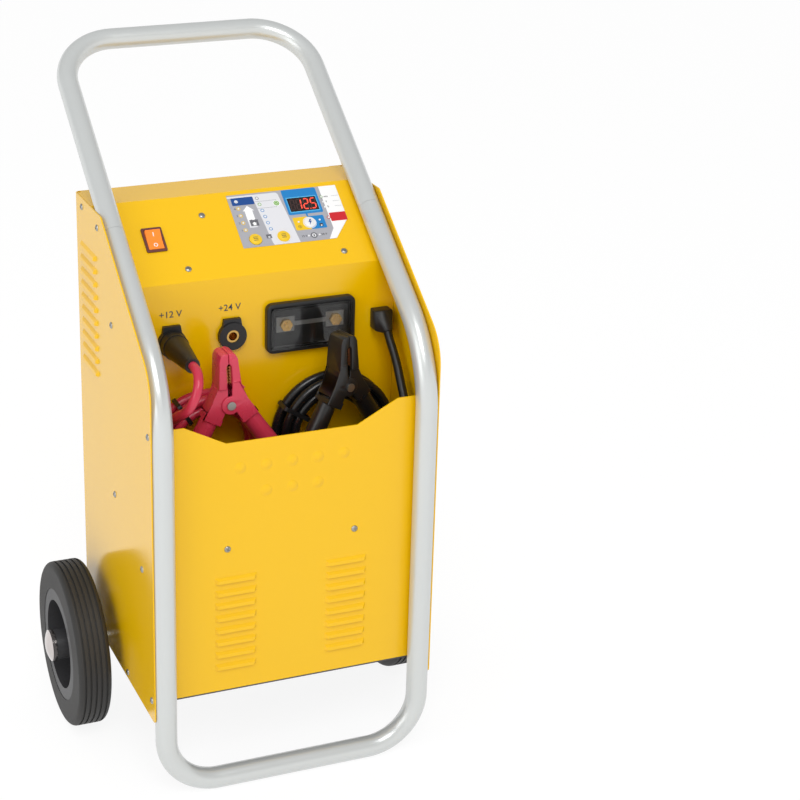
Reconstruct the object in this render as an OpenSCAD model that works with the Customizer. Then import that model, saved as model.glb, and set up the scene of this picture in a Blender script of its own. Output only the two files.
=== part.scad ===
// Wheeled workshop battery charger and starter: a sheet-metal case hung in a
// bent tube frame, with a pocket for the leads and clamps in its front.
// Millimetres. +X is right as one faces the front, +Y is back, +Z is up.

/* [Overall] */
// Height to the top of the handle
overall_h = 810; // [780:5:980]
// Distance between the axes of the two upright tubes
tube_spacing = 312; // [306:2:380]
// Rear face of the case, behind the upright tubes' axis
case_depth = 285; // [270:5:345]
// Height of the top of the case
case_top_z = 647.5; // [630:0.5:700]

/* [Frame tube] */
// Outer diameter of the frame tube
tube_d = 25; // [21:0.5:30]
// Wall of the frame tube
tube_wall = 1.5; // [1:0.1:2.5]
// Angle of the handle, back from the upright
lean_angle = 54; // [48:1:58]
// Height at which the upright and the leaning axis would meet
lean_z = 502; // [480:1:520]
// Radius of the two bends at the foot, on the axis
foot_bend_r = 62; // [40:1:80]
// Radius of the two bends at mid height, on the axis
mid_bend_r = 130; // [90:5:160]
// Radius of the two bends at the grip, on the axis
grip_bend_r = 68; // [45:1:85]
// Distance from the lean's start to the joint of the two tubes
joint_s = 214; // [180:2:300]
// Half length of the spigot inside that joint
spigot_half = 35; // [20:1:60]

/* [Case] */
// Thickness of the case's sheet
sheet_t = 1.5; // [1:0.1:2]
// Radius of the front corner of a side panel
side_corner_r = 60; // [30:5:80]
// How far a side panel reaches ahead of the upright tube's axis
side_front = 3; // [0:0.5:8]
// How far a side panel reaches ahead of the leaning tube's axis
side_lean_front = 13.7; // [10:0.1:16]
// Radius of a side panel's fold at the rear
rear_fold_r = 6; // [3:0.5:10]
// Width of a side panel's rear flange
rear_flange_w = 20; // [14:1:30]
// Depth of the skirt under the base plate
skirt_h = 17; // [14:1:22]
// Distance from the upright tubes' axis back to the recessed wall
wall_y = 125.4; // [110:0.2:140]

/* [Pocket] */
// Height of the pocket's floor
pocket_floor_z = 290; // [280:1:300]
// Height of the pocket's front at its sides
pocket_side_z = 451; // [440:1:470]
// Height of the pocket's front in the middle
pocket_mid_z = 425.5; // [415:0.5:440]
// Half width of the low middle of the pocket's front
pocket_mid_x = 78; // [60:1:90]
// Half width where the pocket's edge reaches its full height
pocket_side_x = 127; // [110:1:140]

/* [Wheels] */
// Diameter of a tyre
wheel_d = 200; // [160:5:240]
// Width of a tyre
tyre_w = 40; // [30:1:50]
// Diameter of the axle
axle_d = 20; // [12:1:24]
// Gap between the case and a tyre
wheel_gap = 17; // [14:1:26]
// Distance of the wheels' axle behind the upright tubes' axis
axle_y = 208; // [190:1:230]
// Radius of a tyre's seat on its rim
rim_seat_r = 68; // [60:1:72]
// Radius of the dish in a rim
rim_dish_r = 54; // [46:1:58]
// Diameter of the bright cap on the end of the axle
cap_d = 38; // [34:1:44]

/* [Louvres] */
// Length of a side louvre
side_louvre_l = 62; // [40:1:80]
// Number of side louvres
side_louvre_n = 10; // [6:1:12]
// Length of a front or rear louvre
front_louvre_l = 50; // [40:1:56]
// Number of louvres in a front or rear column
front_louvre_n = 8; // [5:1:9]
// Distance from one louvre to the next
louvre_pitch = 15.7; // [13:0.1:16]
// Height of a louvre's mouth
louvre_h = 7; // [5:0.5:9]
// How far a louvre stands out
louvre_out = 3.2; // [2:0.1:4]

/* [Controls] */
// Width of the switch's frame
rocker_w = 24.5; // [20:0.5:30]
// Height of the switch's frame
rocker_h = 34; // [28:0.5:38]
// Tilt of the rocker, from off to on
rocker_tilt = 16; // [8:1:20]
// Diameter of a round button
button_d = 15; // [10:0.5:18]
// Travel of a round button
button_travel = 1.2; // [0.5:0.1:2]
// Width of the display's window
display_w = 36; // [28:0.5:42]
// Height of the display's window
display_h = 20; // [14:0.5:22]

/* [Sockets and fuse] */
// Diameter of a socket's body
socket_d = 33; // [28:0.5:38]
// Diameter of a socket's hole
socket_hole_d = 10; // [8:0.5:12]
// Height of the two sockets
socket_z = 508; // [500:1:520]
// Distance between the fuse's two studs
fuse_pitch = 61; // [50:1:66]
// Width of the fuse's frame
fuse_w = 109; // [100:1:116]
// Height of the fuse's frame
fuse_h = 60; // [52:1:64]

/* [Leads] */
// Diameter of the two battery leads
lead_d = 11; // [8:0.5:11]
// Diameter of the mains lead
mains_d = 10; // [7:0.5:10]
// Outer radius of a battery lead's coil
coil_r = 77; // [70:1:78]

/* [Clamps] */
// Length of a clamp's nose, from its pin
nose_l = 62; // [50:1:70]
// Width of a clamp's nose
nose_w = 24; // [20:1:28]
// Depth of a clamp, front to back
clamp_depth = 26; // [22:0.5:28]
// Length of a clamp's handle, from the height of its pin
grip_l = 80; // [66:1:86]
// Angle of a handle from the clamp's middle
grip_angle = 31; // [24:1:34]
// Diameter of a clamp's pin
pin_d = 6; // [4:0.5:8]

/* [Hidden] */
$fn = 64;

// Clearances: between pieces that are seated, between sheets, in running fits
seat = 0.2;
sheet_gap = 0.3;
run = 0.06;
lay = 0.02; // between a face and what lies on it
cut = 1; // how far a cutting tool runs past a face

// Frame
tube_r = tube_d / 2;
tube_x = tube_spacing / 2;
lean_len = (overall_h - tube_r - lean_z) / cos(lean_angle);
mid_tangent = mid_bend_r * tan(lean_angle / 2);
frame_y = -lean_len * sin(lean_angle) / 2; // puts the middle of the depth at the origin

seam_l = 1;     // how far the leaning run reaches into the bend below it
seam_r = 0.05;  // and how much wider it is than the bend

// Case
in_x = tube_x + tube_r + seat;     // inner face of a side panel
out_x = in_x + sheet_t;            // outer face of a side panel
axle_z = wheel_d / 2;
case_bottom_z = axle_z;
base_z = case_bottom_z + skirt_h;  // upper face of the base plate
front_y = tube_r + 1.5;            // front face of the pocket's front
panel_off = tube_r + 0.5;          // front face of the control panel, behind the leaning axis
inner_x = in_x - sheet_gap;        // half width of the sheets between the side panels

// Where a sheet that lies `off` behind the leaning axis reaches a height or a depth
function lean_y(z, off) = (off + (z - lean_z) * sin(lean_angle)) / cos(lean_angle);
function lean_h(y, off) = lean_z + (y * cos(lean_angle) - off) / sin(lean_angle);
function along_lean(y, z) = y * sin(lean_angle) + (z - lean_z) * cos(lean_angle);

fold_y = lean_y(case_top_z, panel_off);   // fold between top and control panel
panel_top_s = along_lean(fold_y, case_top_z);
rear_y = case_depth;
rear_sheet_y = rear_y - 2 * sheet_t;      // front face of the rear panel

// Places on the control panel: [x, distance down from its top fold]
rocker_at = [-108, 57.5];
charge_at = [10.5, 72];
timer_at = [45, 72];
start_at = [82.3, 56.5];
start_d = 14;
display_at = [82.3, 29];
overlay_x = [-7, 130];
overlay_v = [6, 82.5];
overlay_cut = 22;
overlay_t = 0.4;
rocker_pivot = 4;           // depth of the rocker's pivot
rocker_well_w = rocker_w - 6;
board_drop = 10;            // depth of the control board's face
board_t = 1.6;
panel_screws = [[-43, 30], [-79, 102], [111, 101.5]];
light_d = 2.4;
charge_lights = [for (i = [0:4]) [2.6, 16 + 10.4 * i]];
mode_lights = [for (i = [0:5]) [29 + 0.8 * i, 14 + 9.1 * i]];
unit_lights = [[107.5, 21.5], [107.5, 29], [107.5, 36.5]];
other_lights = [[69, 54], [95.4, 54], [107.5, 52], [75.3, 75], [88.7, 75]];
lights = concat(charge_lights, mode_lights, unit_lights, other_lights);

// Places on the recessed wall: [x, z]
socket_x = [-105, -33];
socket_out = 7;
fuse_at = [62, 511];
fuse_stud_up = 3;           // height of the studs above the middle of the frame
fuse_face = 9;              // how far the fuse's frame stands out of the wall
stud_r = 3;
gland_at = [150, 508];
gland_w = 22;
gland_h = 24;

// Places of the small screws: on a side [y, z], on the pocket's front [x, z]
tube_screws = [[lean_y(630.7, 8), 630.7], [7, 449.8], [7, 125.3]];
flange_screws = [[255, 637], [36.7, 276.5], [141.5, 322], [103, base_z - skirt_h / 2]];
wall_screws = [[wall_y + 15, 531.3]];
side_screws = concat(tube_screws, flange_screws, wall_screws);
front_screws = [[-77, 296.5], [77, 296.5]];
screw_head_d = 8;
screw_head_h = 2.4;
screw_d = 4;
screw_hole_r = screw_d / 2 + seat;
screw_len = 9;
rear_screw_z = [base_z + 30, (base_z + case_top_z) / 2, case_top_z - 40];

// Louvres and dimples: [y, z] or [x, z] of a column's top, rows of dimples
louvre_end = 3.5;           // how far a louvre's end slopes in
side_louvre_at = [230, 588];
front_louvre_x = 67.25;
front_louvre_z = 262;
rear_louvre_z = [570, 330];
dimple_d = 14;
dimple_out = 1.6;
dimples = concat([for (x = [-62:31:62]) [x, 394]], [for (x = [-31:31:31]) [x, 362.5]]);

// Wheels
tyre_x = out_x + wheel_gap;
cap_x = tyre_x + tyre_w + 8;
axle_r = axle_d / 2;

// Internals
core_leg = 25;
core_depth = 84;
core_y = 200;
rectifier_z = 309;

// Leads
lead_r = lead_d / 2;
mains_r = mains_d / 2;
wind_gap = 0.6;
loop_rings = 24;
tube_sides = 8;
coil_sides = 6;
lead_step = lead_d + wind_gap;
mains_step = mains_d + wind_gap;
black_turns = 4.75;
red_turns = 4.25;
hank_turns = 3.25;
coil_axis_r = coil_r - lead_r;
coil_back_y = wall_y - 11.4;
coil_front_y = coil_back_y - lead_step;
coil_top_z = 379;   // centre of the coils' upper half
coil_low_z = pocket_floor_z + 0.4 + coil_r;
red_coil_x = -67;
black_coil_x = 88.5;
hank_half = 90;     // half length of the hank's straight runs
hank_bend_r = 52;
hank_waist = 17;
hank_y = front_y + 2 * sheet_t + 0.6 + mains_r;
hank_z = pocket_floor_z + 0.4 + hank_bend_r + mains_r;

// Clamps
red_clamp_at = [-55, 76, 448];
black_clamp_at = [82, 67, 454];
red_yaw = 0;
black_yaw = 15;
red_tilt = -3;
black_tilt = -2;
cheek_t = 2;
pin_r = pin_d / 2;
hub_r = 11;
cheek_out = clamp_depth / 2;
cheek_in = cheek_out - cheek_t - 0.4;
grip_off = 12;              // how far a handle's axis passes beside the pin
grip_start = 14;
grip_r1 = 10.3;
grip_r2 = 11.8;
nose_low = 20;
jaw_x = 3.1;

// Plug on the red lead
plug_l = 70;
plug_r1 = 15.5;
plug_r2 = 8.5;
plug_collar = 12;
plug_pin_r = 3.5;
plug_pin_in = 16;
plug_face_y = wall_y - socket_out - sheet_gap;
plug_end_y = plug_face_y - plug_l;

// Mains plug, lying on the pocket's floor
mains_plug_at = [-14, 65, pocket_floor_z + 19.3];
mains_plug_r = 19;

// The black lead's gland in the pocket's floor
lead_gland_at = [black_coil_x - coil_axis_r, coil_back_y];
lead_gland_h = 9;

// The tie round the hank's waist
hank_tie_l = 8;
hank_tie_slope = hank_tie_l * hank_waist / hank_half;
hank_tie_h = 2 * (hank_bend_r + mains_r - hank_waist) - 0.75 * mains_step + hank_tie_slope + seat;

// The way the lead leaves the fixed half of a clamp, and where that half ends
function clamp_turned(x, z, yaw, tilt) =
  let (u = x * cos(tilt) + z * sin(tilt))
  [u * cos(yaw), u * sin(yaw), z * cos(tilt) - x * sin(tilt)];
function clamp_way(yaw, tilt, side) = clamp_turned(side * sin(grip_angle), -cos(grip_angle), yaw, tilt);
red_way = clamp_way(red_yaw, red_tilt, 1);
black_way = clamp_way(black_yaw, black_tilt, -1);
function clamp_end(at, yaw, tilt, side) =
  at + clamp_turned(side * grip_off, 0, yaw, tilt) + (grip_l + lay) * clamp_way(yaw, tilt, side);
red_grip_end = clamp_end(red_clamp_at, red_yaw, red_tilt, 1);
black_grip_end = clamp_end(black_clamp_at, black_yaw, black_tilt, -1);

// Routes of the free stretches: round numbers, on the axis of the cord
coil_end_z = coil_low_z - coil_axis_r;
red_in_x = red_coil_x - coil_axis_r;
red_route_in = [
  [socket_x[0], plug_end_y - lay, socket_z],
  [-105, 40, 508], [-105.3, 31.8, 506.5], [-106.5, 24.5, 502.4], [-108.6, 19.1, 496],
  [-111.5, 16.3, 488], [-115, 16.4, 479.6], [-118, 19.4, 471.7], [-120.7, 25, 465],
  [-124, 34.3, 458], [-127, 44, 450.8], [-130, 53.8, 443.4], [-132.5, 63.5, 436.2],
  [-134.7, 73.3, 428.8], [-136.5, 83, 421.5], [-138, 92.8, 414.2],
  [red_in_x, 98.1, 408.7], [red_in_x, 101.3, 402.1], [red_in_x, coil_front_y, 395],
  [red_in_x, coil_front_y, coil_top_z + lead_d]
];
red_route_out = [
  [red_coil_x + lead_d, coil_back_y, coil_end_z], [-45, coil_back_y, coil_end_z],
  [-33, 113, 296], [-22, 109.5, 296.3], [-11.5, 103.5, 297.5], [-1.5, 96.5, 301.5], [7.5, 90, 308.5],
  [14.5, 84.5, 318], [18.8, 80.5, 329], [20.2, 77.8, 340.5], [18.8, 76.3, 352], [14.6, 76, 361.5],
  red_grip_end + 15 * red_way, red_grip_end
];
black_route_in = [
  [lead_gland_at[0], lead_gland_at[1], pocket_floor_z + lead_gland_h],
  [lead_gland_at[0], lead_gland_at[1], 330],
  [lead_gland_at[0], lead_gland_at[1], coil_top_z - lead_d]
];
black_route_out = [
  [black_coil_x - lead_d, coil_front_y, coil_end_z], [67, coil_front_y, coil_end_z], [55.5, 99.5, 296.2],
  [45, 93, 298], [35.5, 85, 302.5], [28, 76.5, 309.5], [22.5, 68.5, 318.5], [19.5, 61.5, 329],
  [18.8, 56.3, 340.5], [20.2, 53, 352], [22.6, 52, 361.5],
  black_grip_end + 15 * black_way, black_grip_end
];
mains_route_in = [
  [151, 101, 497], [152, 96, 488], [153.5, 88, 476], [154.5, 80, 463.5],
  [154.5, 71.5, 451], [154.2, 62.8, 439], [153.6, 54.2, 427.5], [152.5, 46.2, 416.5],
  [150.8, 38.8, 405.5], [148.2, 32.2, 394], [144.7, 26.7, 382.1], [142.7, 23.65, 372.6],
  [hank_half + hank_bend_r, hank_y, hank_z + 1.5 * mains_d],
  [hank_half + hank_bend_r, hank_y, hank_z + mains_d]
];
mains_out_from = [hank_half - mains_d, hank_y + mains_step, hank_z - hank_bend_r + mains_step / 12];
mains_route_out = [
  mains_out_from, mains_out_from - [mains_d, 0, 0], [58, 35, 297.5], [46, 39.5, 300], [34, 46, 303],
  [22, 53, 306], [11, 59.5, 308.5], [-1, 64, mains_plug_at[2]],
  mains_plug_at + [5, 0, 0], mains_plug_at + [lay, 0, 0]
];

// ---- helpers ----

module placed() {
  translate([0, frame_y, 0])
    children();
}

module both_sides() {
  children();
  mirror([1, 0, 0])
    children();
}

// X across, Y up the slope, Z out of the control panel
module on_panel(at) {
  translate([0, 0, lean_z])
    rotate([-lean_angle, 0, 0])
      translate([at[0], panel_off, panel_top_s - at[1]])
        rotate([90, 0, 0])
          children();
}

// X across, Y up, Z towards the front
module on_wall(at, y) {
  translate([at[0], y, at[1]])
    rotate([90, 0, 0])
      children();
}

// X back, Y up, Z out of the right side
module on_side(at, x) {
  translate([x, at[0], at[1]])
    rotate([90, 0, 90])
      children();
}

// Z along the axle, outwards on the right side
module on_axle(x) {
  translate([x, axle_y, axle_z])
    rotate([0, 90, 0])
      children();
}

module rod(r, h) {
  cylinder(r = r, h = h, center = true);
}

module ring(r_out, r_in, h) {
  difference() {
    cylinder(r = r_out, h = h);
    translate([0, 0, -cut])
      cylinder(r = r_in, h = h + 2 * cut);
  }
}

module slab(w, h, t) {
  translate([-w / 2, -h / 2, 0])
    cube([w, h, t]);
}

module centred_slab(w, h, t) {
  translate([0, 0, -t / 2])
    slab(w, h, t);
}

module round_slab(w, h, t, r) {
  slab(w - 2 * r, h, t);
  slab(w, h - 2 * r, t);
  for (x = [-1, 1], y = [-1, 1])
    translate([x * (w / 2 - r), y * (h / 2 - r), 0])
      cylinder(r = r, h = t);
}

// Points of a round corner at b, between the directions to a and c
function unit(v) = v / norm(v);
function corner(a, b, c, r, n = 8) =
  let (
    u = unit(a - b), w = unit(c - b), half = acos(u * w) / 2,
    centre = b + unit(u + w) * r / sin(half), from = b + u * r / tan(half), to = b + w * r / tan(half),
    a0 = atan2(from[1] - centre[1], from[0] - centre[0]),
    turn = atan2(to[1] - centre[1], to[0] - centre[0]) - a0,
    sweep = turn > 180 ? turn - 360 : turn < -180 ? turn + 360 : turn
  )
  [for (i = [0:n]) centre + r * [cos(a0 + sweep * i / n), sin(a0 + sweep * i / n)]];

// ---- swept tubes ----

function tangent(p, i) = unit(p[min(i + 1, len(p) - 1)] - p[max(i - 1, 0)]);

// A ring's first spoke stays square to the route and turns as little as it can
function spoke(p, i, before) =
  let (t = tangent(p, i), s = before - t * (before * t)) unit(s);
function spokes(p, first, i = 0, done = []) =
  i >= len(p) ? done :
    let (s = spoke(p, i, i == 0 ? first : done[i - 1])) spokes(p, first, i + 1, concat(done, [s]));

module sweep(p, r, sides, first) {
  s = spokes(p, first);
  rings = len(p);
  points = [
    for (i = [0:rings - 1], k = [0:sides - 1])
      let (t = tangent(p, i), a = 360 * k / sides) p[i] + r * (cos(a) * s[i] + sin(a) * cross(t, s[i]))
  ];
  walls = [
    for (i = [0:rings - 2], k = [0:sides - 1])
      let (a = i * sides + k, b = i * sides + (k + 1) % sides)
      each [[a, b + sides, b], [a, a + sides, b + sides]]
  ];
  start = [for (k = [1:sides - 2]) [0, k, k + 1]];
  end = [for (k = [1:sides - 2]) [(rings - 1) * sides, (rings - 1) * sides + k + 1, (rings - 1) * sides + k]];
  polyhedron(points, concat(walls, start, end));
}

// How far the winding has gone in, out again after its middle, and its layer
function wound_in(u, turns, step) = step * min(u, turns - u);
function layer(u, turns) =
  let (q = (u - turns / 2 + 0.25) / 0.5) q < 0 ? 0 : q > 1 ? 1 : (1 - cos(180 * q)) / 2;

// A coil's axis: way is 1 clockwise from the left, -1 anticlockwise from the left
function coil_point(u, turns, x, y_start, y_end, way) =
  let (
    a = 180 - way * 360 * u, r = coil_axis_r - wound_in(u, turns, lead_step),
    z = sin(a) >= -0.001 ? coil_top_z : coil_low_z
  )
  [x + r * cos(a), y_start + (y_end - y_start) * layer(u, turns), z + r * sin(a)];
function coil_route(turns, x, y_start, y_end, way) = concat(
  [[x - coil_axis_r, y_start, coil_top_z - way * lead_d]],
  [for (i = [0:turns * loop_rings]) coil_point(i / loop_rings, turns, x, y_start, y_end, way)],
  [[x - way * lead_d, y_end, coil_end_z]]
);

// The hank's axis: clockwise from the right, two half circles and two runs drawn in at the waist
function waist(x) = hank_waist * (1 + cos(180 * x / hank_half)) / 2;
function hank_point(u) =
  let (
    q = 24 * (u - floor(u)), r = hank_bend_r - wound_in(u, hank_turns, mains_step),
    y = hank_y + mains_step * layer(u, hank_turns),
    run_x = hank_half * (1 - (q < 12 ? q - 4 : 20 - q) / 2)
  )
  q <= 4 ? [hank_half + r * cos(22.5 * q), y, hank_z - r * sin(22.5 * q)] :
  q < 8 ? [run_x, y, hank_z - r + waist(run_x)] :
  q <= 16 ? [-hank_half - r * sin(22.5 * (q - 8)), y, hank_z - r * cos(22.5 * (q - 8))] :
  q < 20 ? [run_x, y, hank_z + r - waist(run_x)] :
  [hank_half + r * sin(22.5 * (q - 20)), y, hank_z + r * cos(22.5 * (q - 20))];
hank_route = concat(
  [mains_route_in[len(mains_route_in) - 1]],
  [for (i = [0:(hank_turns - 1 / 12) * loop_rings]) hank_point(i / loop_rings)],
  [mains_out_from]
);

// Least gap of a wound tube to itself, from the points of its axis, three quarters of a turn apart or more
function self_gap(p, d) =
  min([for (i = [0:len(p) - 1], j = [i + 16:1:len(p) - 1]) norm(p[i] - p[j])]) - d;

red_coil_route = coil_route(red_turns, red_coil_x, coil_front_y, coil_back_y, -1);
black_coil_route = coil_route(black_turns, black_coil_x, coil_back_y, coil_front_y, 1);
echo("least gap in the red coil", self_gap(red_coil_route, lead_d));
echo("least gap in the black coil", self_gap(black_coil_route, lead_d));
echo("least gap in the mains hank", self_gap(hank_route, mains_d));

// ---- frame ----

module on_lean() {
  translate([0, 0, lean_z])
    rotate([-lean_angle, 0, 0])
      children();
}

// Part of a ring, in the XY plane
module bend(bend_r, from, angle, r) {
  rotate([0, 0, from])
    rotate_extrude(angle = angle)
      translate([bend_r, 0])
        circle(r);
}

module lower_frame_run(r) {
  both_sides() {
    translate([-cut / 2, 0, tube_r])
      rotate([0, 90, 0])
        cylinder(r = r, h = tube_x - foot_bend_r + cut / 2);
    translate([tube_x - foot_bend_r, 0, tube_r + foot_bend_r])
      rotate([90, 0, 0])
        bend(foot_bend_r, -90, 90, r);
    translate([tube_x, 0, tube_r + foot_bend_r])
      cylinder(r = r, h = lean_z - mid_tangent - tube_r - foot_bend_r);
    translate([tube_x, mid_bend_r, lean_z - mid_tangent])
      rotate([90, 0, 90])
        bend(mid_bend_r, 180, -lean_angle, r);
    on_lean()
      translate([tube_x, 0, mid_tangent - seam_l])
        cylinder(r = r + seam_r, h = joint_s - mid_tangent + seam_l);
  }
}

module handle_run(r) {
  on_lean()
    both_sides() {
      translate([tube_x, 0, joint_s + sheet_gap])
        cylinder(r = r, h = lean_len - grip_bend_r - joint_s - sheet_gap);
      translate([tube_x - grip_bend_r, 0, lean_len - grip_bend_r])
        rotate([90, 0, 0])
          bend(grip_bend_r, 0, 90, r);
      translate([-cut / 2, 0, lean_len])
        rotate([0, 90, 0])
          cylinder(r = r, h = tube_x - grip_bend_r + cut / 2);
    }
}

// Clearance for the small screws' shanks
module side_screw_holes() {
  both_sides()
    for (at = side_screws)
      on_side(at, out_x - screw_len - cut)
        cylinder(r = screw_hole_r, h = screw_len + 2 * cut);
}

module front_screw_holes() {
  for (at = front_screws)
    on_wall(at, front_y + screw_len)
      cylinder(r = screw_hole_r, h = screw_len + cut);
}

module at_rear_screws() {
  both_sides()
    for (z = rear_screw_z)
      translate([out_x - (rear_flange_w + rear_fold_r) / 2, rear_y, z])
        rotate([90, 0, 180])
          children();
}

module rear_screw_holes() {
  at_rear_screws()
    rod(screw_hole_r, 2 * screw_len);
}

module lower_frame() {
  color("lightgray") placed()
    difference() {
      lower_frame_run(tube_r);
      lower_frame_run(tube_r - tube_wall);
      side_screw_holes();
    }
}

module handle_tube() {
  color("lightgray") placed()
    difference() {
      handle_run(tube_r);
      handle_run(tube_r - tube_wall);
      side_screw_holes();
    }
}

module handle_spigots() {
  spigot_r = tube_r - tube_wall - seat / 2;
  color("gray") placed()
    difference() {
      on_lean()
        both_sides()
          translate([tube_x, 0, joint_s - spigot_half])
            ring(spigot_r, spigot_r - tube_wall, 2 * spigot_half);
      side_screw_holes();
    }
}

// ---- sheet metal ----

// A louvre's hood stands out of the face at z = 0, and its mouth is below
module louvre_hood(l) {
  intersection() {
    translate([-l / 2, 0, 0])
      rotate([90, 0, 90])
        linear_extrude(l)
          polygon([
            [0, -sheet_t / 2], [louvre_h, -sheet_t / 2], [louvre_h, 0],
            [louvre_h * 0.55, louvre_out * 0.85], [0, louvre_out]
          ]);
    louvre_plan(l);
  }
}

module louvre_mouth(l) {
  h = louvre_h - sheet_t;
  out = louvre_out - sheet_t * 0.7;
  inner_l = l - 2 * sheet_t;
  intersection() {
    translate([-inner_l / 2, 0, 0])
      rotate([90, 0, 90])
        linear_extrude(inner_l)
          polygon([
            [0, -sheet_t - cut], [h, -sheet_t - cut], [h, 0], [0, out], [-cut, out], [-cut, 0], [0, 0]
          ]);
    louvre_plan(inner_l);
  }
}

// A louvre's outline from above: its ends slope in as it rises
module louvre_plan(l) {
  foot = l / 2;
  crest = foot - louvre_end;
  deep = -sheet_t - 2 * cut;
  rotate([90, 0, 0])
    translate([0, 0, -louvre_h - cut])
      linear_extrude(louvre_h + 3 * cut)
        polygon([
          [-foot, deep], [foot, deep], [foot, 0], [crest, louvre_out], [-crest, louvre_out], [-foot, 0]
        ]);
}

module louvre_column(n) {
  for (i = [0:n - 1])
    translate([0, -i * louvre_pitch, 0])
      children();
}

// Room for a side panel's rear fold in the corners of the sheets inside it
module rear_corner_cut() {
  side = rear_fold_r + sheet_gap;
  both_sides()
    translate([out_x - side, rear_y - side, 0])
      cube([side, side + cut, 2 * case_top_z]);
}

side_outline = let (
  top = case_top_z, low = case_bottom_z, front = -side_front,
  knee = [front, lean_h(front, -side_lean_front)],
  nose = [lean_y(top, -side_lean_front), top]
) concat(
  [[rear_y - rear_fold_r, low], [rear_y - rear_fold_r, top]],
  corner([rear_y, top], nose, knee, 3, 3),
  corner(nose, knee, [front, low], side_corner_r, 12),
  corner(knee, [front, low], [rear_y, low], 5, 4)
);

module side_louvres() {
  on_side(side_louvre_at, out_x)
    louvre_column(side_louvre_n)
      children();
}

module side_panel() {
  case_h = case_top_z - case_bottom_z;
  difference() {
    union() {
      translate([in_x, 0, 0])
        rotate([90, 0, 90])
          linear_extrude(sheet_t)
            polygon(side_outline);
      translate([out_x - rear_fold_r, rear_y - rear_fold_r, case_bottom_z])
        rotate_extrude(angle = 90)
          translate([rear_fold_r - sheet_t, 0])
            square([sheet_t, case_h]);
      translate([out_x - rear_flange_w, rear_y - sheet_t, case_bottom_z])
        cube([rear_flange_w - rear_fold_r, sheet_t, case_h]);
      side_louvres()
        louvre_hood(side_louvre_l);
    }
    side_louvres()
      louvre_mouth(side_louvre_l);
    side_screw_holes();
    rear_screw_holes();
    on_axle(in_x - cut)
      cylinder(r = axle_r + 1, h = sheet_t + 2 * cut);
  }
}

module right_side_panel() {
  color("gold") placed()
    side_panel();
}

module left_side_panel() {
  color("gold") placed()
    mirror([1, 0, 0])
      side_panel();
}

// Profile of the folded sheet in Y and Z: top, control panel, recessed wall
function fascia_line(t) = [
  [rear_y - sheet_t, case_top_z - t],
  [lean_y(case_top_z - t, panel_off + t), case_top_z - t],
  [wall_y + t, lean_h(wall_y + t, panel_off + t)],
  [wall_y + t, pocket_floor_z]
];

module fascia() {
  color("gold") placed()
    difference() {
      union() {
        translate([-inner_x, 0, 0])
          rotate([90, 0, 90])
            linear_extrude(2 * inner_x)
              polygon(concat(fascia_line(0), [for (i = [3:-1:0]) fascia_line(sheet_t)[i]]));
        // tabs for the side screws
        both_sides()
          translate([inner_x - sheet_t, 0, 0]) {
            translate([0, rear_y - 42, case_top_z - 24])
              cube([sheet_t, 24, 24 - sheet_t]);
            translate([0, wall_y + sheet_t, wall_screws[0][1] - 12])
              cube([sheet_t, 24, 24]);
          }
      }
      rear_corner_cut();
      side_screw_holes();
      on_panel(rocker_at)
        centred_slab(rocker_w - 3, rocker_h - 3, 4 * sheet_t);
      on_panel(display_at)
        centred_slab(display_w + 1, display_h + 1, 4 * sheet_t);
      at_buttons()
        rod(($button_d + 1) / 2, 4 * sheet_t);
      for (at = lights)
        on_panel(at)
          rod((light_d + 0.4) / 2, 4 * sheet_t);
      for (at = panel_screws)
        on_panel(at)
          rod(screw_hole_r, 4 * sheet_t);
      for (x = socket_x)
        on_wall([x, socket_z], wall_y)
          rod(socket_d / 2 - 4, 4 * sheet_t);
    }
}

module rear_louvres() {
  for (x = [-front_louvre_x, front_louvre_x], z = rear_louvre_z)
    translate([x, rear_y - sheet_t, z])
      rotate([90, 0, 180])
        louvre_column(front_louvre_n)
          children();
}

module rear_panel() {
  half_w = out_x - rear_fold_r - sheet_gap;
  low = base_z + sheet_gap;
  high = case_top_z - sheet_t;
  color("gold") placed()
    difference() {
      union() {
        translate([-half_w, rear_sheet_y, low])
          cube([2 * half_w, sheet_t, high - low]);
        translate([-half_w, rear_sheet_y - 18, high - sheet_t])
          cube([2 * half_w, 18, sheet_t]);
        rear_louvres()
          louvre_hood(front_louvre_l);
      }
      rear_louvres()
        louvre_mouth(front_louvre_l);
      rear_screw_holes();
    }
}

module base_plate() {
  color("dimgray") placed()
    difference() {
      union() {
        translate([-inner_x, front_y, base_z - sheet_t])
          cube([2 * inner_x, rear_y - sheet_t - sheet_gap - front_y, sheet_t]);
        both_sides()
          translate([inner_x - sheet_t, front_y + 6, case_bottom_z + 2])
            cube([sheet_t, rear_sheet_y - front_y - 16, skirt_h - 2]);
      }
      rear_corner_cut();
      side_screw_holes();
      on_axle(0)
        rod(axle_r + 1, 2 * out_x);
    }
}

front_edge = [
  [-inner_x, base_z + sheet_gap], [inner_x, base_z + sheet_gap],
  [inner_x, pocket_side_z], [pocket_side_x, pocket_side_z],
  [pocket_mid_x, pocket_mid_z], [-pocket_mid_x, pocket_mid_z],
  [-pocket_side_x, pocket_side_z], [-inner_x, pocket_side_z]
];

module front_louvres() {
  for (x = [-front_louvre_x, front_louvre_x])
    on_wall([x, front_louvre_z - louvre_h], front_y)
      louvre_column(front_louvre_n)
        children();
}

// A pressed dimple is a shallow cap of a ball
module dimple() {
  ball_r = (dimple_d * dimple_d / 4 + dimple_out * dimple_out) / (2 * dimple_out);
  intersection() {
    translate([0, 0, dimple_out - ball_r])
      sphere(ball_r);
    translate([0, 0, -sheet_t / 2])
      cylinder(r = dimple_d, h = dimple_out + sheet_t);
  }
}

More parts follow.
